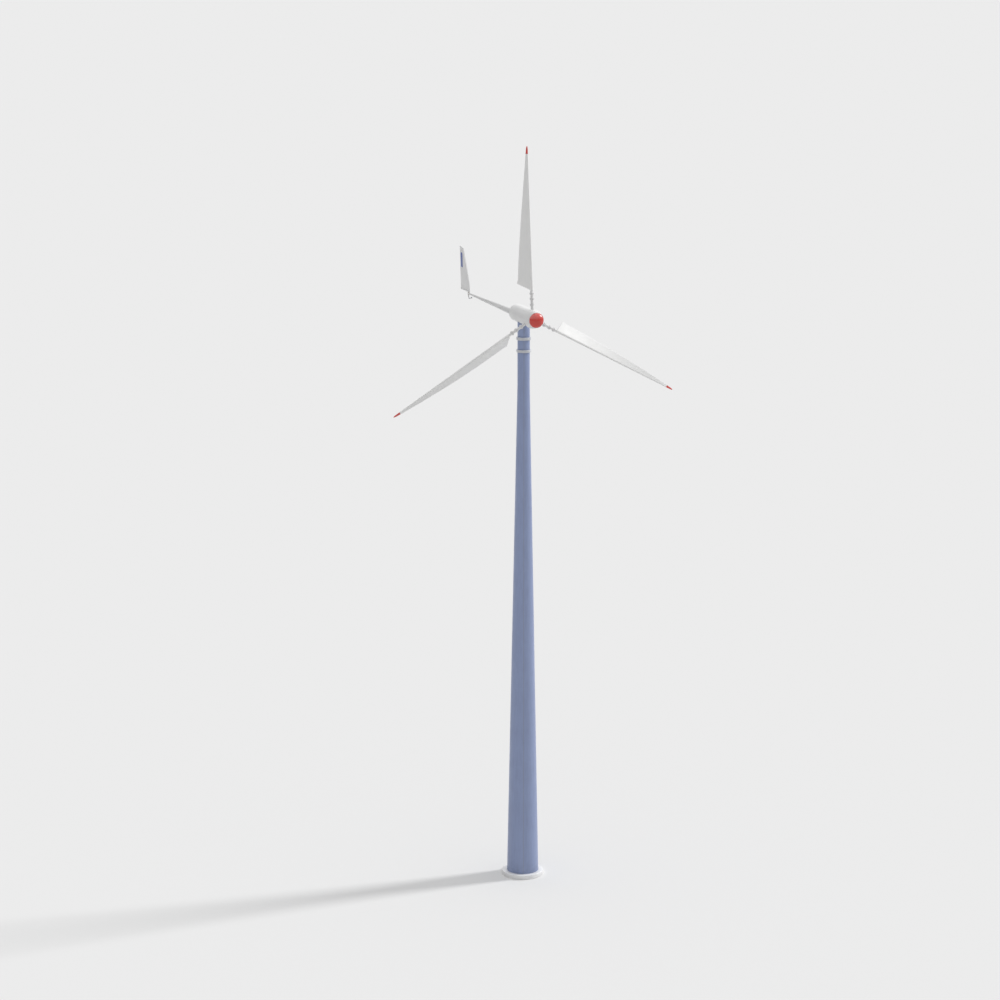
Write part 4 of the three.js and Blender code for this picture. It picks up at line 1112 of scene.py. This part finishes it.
def build_rotor_core():
    """Shaft, magnet drum, hub casting and nut that turn inside the nacelle and the cowl."""
    thread_radius = 10
    pitch = 2.0
    thread = []
    for i in range(14):
        start = -61 + pitch * i
        thread += [(thread_radius, start), (thread_radius - 0.8, start + pitch / 2)]
    shoulder, journal = 18, 12
    shaft = turned("drive_shaft", [
        (0, -62), (9, -62), *thread, (thread_radius, -32.3), (SHAFT_RADIUS, -32.3), (SHAFT_RADIUS, 24),
        (shoulder, 24), (shoulder, 44), (SHAFT_RADIUS, 44), (SHAFT_RADIUS, 338), (journal, 338),
        (journal, 370), (journal - 1, 371), (0, 371),
    ], BACK, HUB, ROUND_MEDIUM)
    finished(soften(shaft, 0.5 * MM, 2, angle=60), "rotor", "structural_steel", ["main_shaft"])

    bore = SHAFT_RADIUS + CLEARANCE
    half, web = 34, 6
    drum = turned("magnet_drum", [
        (bore, -half), (26, -half), (26, -web), (48, -web), (48, -half), (54, -half),
        (54, half), (48, half), (48, web), (26, web), (26, half), (bore, half),
    ], BACK, CORE, ROUND_LARGE)
    for i in range(6):
        spot = CORE + radial(math.radians(60 * i)) * 37 * MM
        drill(drum, 6.5, spot - BACK * 0.02, spot + BACK * 0.02, ROUND_SMALL)
    finished(soften(drum, 0.8 * MM, 2), "rotor", "structural_steel", ["rotor_drum"])

    ring = turned("magnets", square_ring(54 + CLEARANCE, 59.3, -half, half), BACK, CORE, ROUND_LARGE)
    for i in range(12):
        angle = math.radians(30 * i + 15)
        spot = CORE + radial(angle) * 59 * MM
        combine(ring, block("magnet_gap_tool", spot, Vector((6, 80, 5)) * MM, angle), "DIFFERENCE")
    finished(soften(ring, 0.4 * MM, 2), "rotor", "magnet", ["magnet_ring"])

    core = turned("hub_casting", [
        (0, -32), (50, -32), (50, 14), (88, 14), (88, 22), (0, 22),
    ], BACK, HUB, ROUND_LARGE)
    soften(core, 1.5 * MM, 4)
    outward = [radial(angle) for angle in BLADE_ANGLES]
    for out in outward:
        boss = rod("boss_part", 21.6 * MM, HUB + out * 0.02, HUB + out * 0.086, ROUND_MEDIUM)
        combine(core, boss, "UNION", "MANIFOLD")
    drill(core, bore, HUB - BACK * 0.04, HUB + BACK * 0.03, solver="MANIFOLD")
    for out in outward:
        drill(core, ROD_RADIUS + CLEARANCE, HUB + out * 0.044, HUB + out * 0.09, solver="MANIFOLD")
    finished(smoothed(core), "rotor", "cast_aluminium", ["hub_core"])

    nut = rod("shaft_nut", 17.5 * MM, HUB - BACK * 49 * MM, HUB - BACK * 32.6 * MM, 6)
    crown = turned("crown_tool", [
        (0, -49), (15.2, -49), (18.2, -47.3), (18.2, -30), (0, -30),
    ], BACK, HUB, ROUND_MEDIUM)
    combine(nut, crown, "INTERSECT")
    drill(nut, thread_radius + CLEARANCE, HUB - BACK * 0.06, HUB - BACK * 0.02, ROUND_SMALL)
    finished(soften(nut, 0.5 * MM, 2), "rotor", "structural_steel", ["hub_nut"], MATERIALS["zinc_coat"])


def build_boom():
    """The tapered boom with the pivot sleeve welded across its end."""
    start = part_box("tail_boom")[0].y / MM
    taper_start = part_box("rear_cover")[1].y / MM
    bore_end, end = 1690, 1792
    cone = turned("boom_tube", [
        (0, bore_end), (7.5, bore_end), (BOOM_RADIUS - 3, start), (BOOM_RADIUS, start),
        (BOOM_RADIUS, taper_start), (9.5, end), (0, end),
    ], BACK, BOOM, ROUND_MEDIUM)
    sleeve = rod("sleeve_part", 10.5 * MM, BOOM_END - UP * 12 * MM, BOOM_END + UP * 12 * MM, ROUND_MEDIUM)
    combine(cone, sleeve, "UNION")
    drill(cone, 7.5 + CLEARANCE, BOOM_END - UP * 0.02, BOOM_END + UP * 0.02)
    finished(soften(cone, 0.6 * MM, 3), "head", "head_paint", ["tail_boom"], MATERIALS["boom_paint"])

    for name, node, side in (("upper_bush", "vane_bush_upper", 1), ("lower_bush", "vane_bush_lower", -1)):
        bush = turned(name, [
            (5.9, 1.3 * side), (7.5, 1.3 * side), (7.5, 12.3 * side), (9.8, 12.3 * side),
            (9.8, 13.8 * side), (5.9, 13.8 * side),
        ], UP, BOOM_END, ROUND_SMALL)
        finished(soften(bush, 0.3 * MM, 3), "head", "bronze", [node])


# ------------------------------------------------------------------ tail vane


def build_hook():
    """The pivot post, bent forward at its foot into a rod that carries a ball."""
    post_radius = 5.5 * MM
    hook_radius = 5.2 * MM
    top = PIVOT + UP * 2.7 * MM
    bend_start = PIVOT - UP * 45 * MM
    piece = open_piece("pivot_post")
    bpy.ops.mesh.primitive_circle_add(
        vertices=ROUND_SMALL, radius=post_radius, fill_type="NGON", location=top,
    )
    pull(-UP * 43 * MM)
    pull(-UP * 4.7 * MM)
    bpy.ops.transform.resize(value=(hook_radius / post_radius,) * 3)
    bend = 20 * MM
    first = math.radians(97)
    straight = 24 * MM
    centre = bend_start - BACK * bend
    bpy.ops.mesh.spin(steps=20, angle=first, center=centre, axis=SIDE)
    heading = -BACK * math.sin(first) - UP * math.cos(first)
    pull(heading * straight)
    corner = centre + bend * (BACK * math.cos(first) - UP * math.sin(first)) + heading * straight
    second = math.radians(9)
    long_bend = 60 * MM
    rising = -BACK * math.cos(first) + UP * math.sin(first)
    bpy.ops.mesh.spin(steps=4, angle=second, center=corner + rising * long_bend, axis=SIDE)
    heading = -BACK * math.sin(first + second) - UP * math.cos(first + second)
    pull(heading * 44.5 * MM)
    close_piece(piece)
    finished(soften(piece, 0.5 * MM, 2), "vane", "structural_steel", ["vane_post"], MATERIALS["zinc_coat"])

    ball_centre = PIVOT - BACK * 101 * MM - UP * 47 * MM
    ball_profile = [(0, -2), (5.6, -2), *arc(0, 0, 9.5, -53.9, 90, 18)]
    ball = turned("furling_ball", ball_profile, heading, ball_centre, ROUND_SMALL)
    finished(soften(ball, 0.3 * MM, 2), "vane", "structural_steel", ["hook_ball"], MATERIALS["zinc_coat"])


def vane_outline():
    """Corners of the fin, back from the pivot and up from the rotor axis, in millimetres."""
    shoulder, knee = (184, 456), (37, 202)
    slope = (shoulder[1] - knee[1]) / (shoulder[0] - knee[0])
    control = (FIN_FRONT, knee[1] - slope * (knee[0] - FIN_FRONT))
    top_front = (FIN_TOP_FRONT, FIN_TOP)
    corners = [(FIN_FRONT, FIN_FOOT), (FIN_FOOT_REAR, FIN_FOOT), (FIN_TOP_REAR, FIN_TOP), top_front]

    def curve(start, bend, end, steps):
        for i in range(1, steps + 1):
            t = i / steps
            shares = ((1 - t) ** 2, 2 * t * (1 - t), t ** 2)
            yield tuple(
                sum(share * value for share, value in zip(shares, values))
                for values in zip(start, bend, end)
            )

    corners.extend(curve(top_front, (208, 467), shoulder, 8))
    corners.append(knee)
    corners.extend(curve(knee, control, (FIN_FRONT, 30), 16))
    return corners


def build_vane():
    """The fin, the channel that its foot sits in, and the rivets through both."""
    fin_half = 5 * MM
    outline = [PIVOT + BACK * u * MM + UP * v * MM - SIDE * fin_half for u, v in vane_outline()]
    fin = drawn("vane_fin", outline, SIDE * 2 * fin_half)
    spots = [PIVOT + BACK * u * MM + UP * 13 * MM for u in (24, 122, 220)]
    rivet_radius = 2.5
    for spot in spots:
        drill(fin, rivet_radius + CLEARANCE, spot - SIDE * 0.02, spot + SIDE * 0.02, ROUND_SMALL)
    finished(soften(fin, 2.4 * MM, 5, angle=50), "vane", "head_paint", ["vane_panel"], vane_paint())

    inner, outer = 5.3, 7.3
    foot, floor, lip = 3, 5.5, 20
    section = [
        (-outer, foot), (outer, foot), (outer, lip), (inner, lip), (inner, floor), (-inner, floor),
        (-inner, lip), (-outer, lip),
    ]
    start = PIVOT - BACK * 18 * MM
    edge = [start + SIDE * x * MM + UP * z * MM for x, z in section]
    channel = drawn("vane_channel", edge, BACK * 268 * MM)
    for spot in spots:
        drill(channel, rivet_radius + CLEARANCE, spot - SIDE * 0.02, spot + SIDE * 0.02, ROUND_SMALL)
    finished(soften(channel, 0.5 * MM, 2), "vane", "head_paint", ["vane_rail"])

    seat = outer + CLEARANCE
    rivet = turned("fin_rivet_1", [
        *arc(0, -seat, 4.5, -90, 0, 6, depth=3), (rivet_radius, -seat), (rivet_radius, seat),
        *arc(0, seat, 4.5, 0, 90, 6, depth=3),
    ], SIDE, spots[0], ROUND_SMALL)
    soften(rivet, 0.2 * MM, 2, angle=60)
    rivets = [rivet]
    for number, spot in enumerate(spots[1:], 2):
        rivets.append(shifted_copy(rivet, f"fin_rivet_{number}", spot - spots[0]))
    for number, piece in enumerate(rivets, 1):
        finished(piece, "vane", "structural_steel", [f"vane_rivet_{number}"], MATERIALS["zinc_coat"])


# ------------------------------------------------------------------ rotor


def build_hub():
    """The cowl round the hub, with a hole for each root rod, and the nose."""
    outside = flowing([(92, 27), (95.8, 11), (97.4, -8), (96, -34), (91, -68), (82, -108), (78, -117)], 6)
    inside = [(88.5, 27), (92.2, 11), (93.9, -8), (92.5, -34), (87.5, -68), (78.5, -104)]
    shell = turned("hub_cowl", [(74, -117), *reversed(outside), *inside], BACK, HUB, ROUND_LARGE)
    for angle in BLADE_ANGLES:
        out = radial(angle)
        drill(shell, 17, HUB + out * 0.06, HUB + out * 0.12)
    finished(soften(shell, 1.0 * MM, 3), "rotor", "head_paint", ["hub_shell"])

    base = -119
    spigot = 71.2
    wall = 3
    dome = turned("nose_cap", [
        *arc(0, base, 75.5, -90, 0, 24, depth=52), (spigot, base), (spigot, base + 12),
        (spigot - wall, base + 12), *arc(0, base, spigot - wall, 0, -90, 10, depth=49),
    ], BACK, HUB, ROUND_LARGE)
    finished(soften(dome, 1.0 * MM, 3), "rotor", "signal_red", ["nose_dome"])


BLADE_START = 292            # from the rotor's axis, in millimetres
TWIST_START = 400
TIP_START = 1658
BLADE_END = 1735


def blade_section(nose, chord):
    """Corners of a section, towards the trailing edge and the back, before it is pitched."""
    camber = 0.035 * chord
    thin = 1.1
    corners = arc(0, 0, nose, 90, 270, 15)
    pressure = [(0.5, -(nose + thin) / 2), (1.0, -thin)]
    suction = [(1.0, thin), (0.75, 0.35 * nose + camber), (0.5, 0.75 * nose + 1.2 * camber),
               (0.22, 1.02 * nose + 0.6 * camber)]
    front = flowing([(0, -nose), *[(share * chord, v) for share, v in pressure]], 6)
    back = flowing([(share * chord, v) for share, v in suction] + [(0, nose)], 5)
    return corners + front[1:] + back[:-1]


def blade_ring(place, cut=0.0, scale=1.0):
    """A section's corners in space at a place along an upright blade's axis, in millimetres."""
    along = (place - BLADE_START) / (BLADE_END - BLADE_START)
    outboard = max((place - TWIST_START) / (BLADE_END - TWIST_START), 0)
    nose = 15 + along * (6.5 - 15)
    chord = 158 + along * (9 - 158)
    pitch = math.radians(43 * (1 - outboard))
    ring = []
    for u, v in blade_section(nose, chord):
        height = place + cut * max(0, u / chord)
        u, v = u * scale, v * scale
        back = u * math.sin(pitch) + v * math.cos(pitch)
        side = v * math.sin(pitch) - u * math.cos(pitch)
        ring.append(HUB + (SIDE * side + BACK * back + UP * height) * MM)
    return ring


def remember_place(piece):
    """Keeps each corner's place on the upright blade, so that the finish is the same on all three."""
    places = piece.data.attributes.new("blade_place", "FLOAT_VECTOR", "POINT")
    for corner, stored in zip(piece.data.vertices, places.data):
        stored.vector = corner.co - HUB


def build_blades():
    """One upright blade in four pieces, copied round the hub."""
    half = 9
    spigot = 6
    spigot_end = 470
    shank_profile = [(0, 46), (ROD_RADIUS, 46)]
    for bead in (204, 257):
        low, high = bead - half, bead + half
        shank_profile += [(ROD_RADIUS, low), (BEAD_RADIUS, low), (BEAD_RADIUS, high), (ROD_RADIUS, high)]
    root = BLADE_START - 0.5
    shank_profile += [(ROD_RADIUS, root), (spigot, root), (spigot, spigot_end), (0, spigot_end)]
    shank = turned("shank", shank_profile, UP, HUB, ROUND_MEDIUM)
    soften(shank, 3.0 * MM, 5, angle=60)
    nut_place = 143
    nut_profile = square_ring(ROD_RADIUS + CLEARANCE, BEAD_RADIUS, nut_place - half, nut_place + half)
    nut = turned("nut", nut_profile, UP, HUB, ROUND_MEDIUM)
    soften(nut, 3.0 * MM, 5, angle=60)

    panel_rings = [blade_ring(BLADE_START, cut=60)]
    steps = 20
    for i in range(steps + 1):
        panel_rings.append(blade_ring(TWIST_START + (TIP_START - TWIST_START) * i / steps))
    panel = lofted("panel", panel_rings)
    drill(panel, spigot + CLEARANCE, HUB + UP * 272 * MM, HUB + UP * (spigot_end + 2) * MM, ROUND_SMALL)
    soften(panel, 0.5 * MM, 2, angle=40)

    tip_low = TIP_START + CLEARANCE
    steps = 10
    tip_rings = []
    for i in range(steps + 1):
        share = i / steps
        rounding = math.sqrt(1 - 0.8 * share ** 4)
        tip_rings.append(blade_ring(tip_low + (BLADE_END - tip_low) * share, scale=rounding))
    tip = lofted("tip", tip_rings)
    soften(tip, 0.5 * MM, 2, angle=40)

    for piece in (shank, nut, panel, tip):
        remember_place(piece)
    kinds = (
        (shank, "root_rod", "shank", "blade_shell", MATERIALS["rod_paint"]),
        (nut, "lock_nut", "clamp_nut", "blade_shell", MATERIALS["rod_paint"]),
        (panel, "skin", "panel", "blade_shell", None),
        (tip, "red_end", "tip", "signal_red", None),
    )
    for number, angle in enumerate(BLADE_ANGLES, 1):
        for pattern, name, node, slot, material in kinds:
            piece = turned_copy(pattern, f"blade_{number}_{name}", angle)
            finished(piece, "rotor", slot, [f"blade_{number}_{node}"], material)
    for pattern, *_ in kinds:
        bpy.data.objects.remove(pattern)


# ------------------------------------------------------------------ the whole scene

make_camera()
make_world()
make_sun()
make_floor()
MATERIALS = make_materials()
build_foundation()
build_anchorage()
build_stub()
build_yaw_gear()
build_nacelle()
build_alternator()
build_rotor_core()
build_boom()
build_hook()
build_vane()
build_hub()
build_blades()
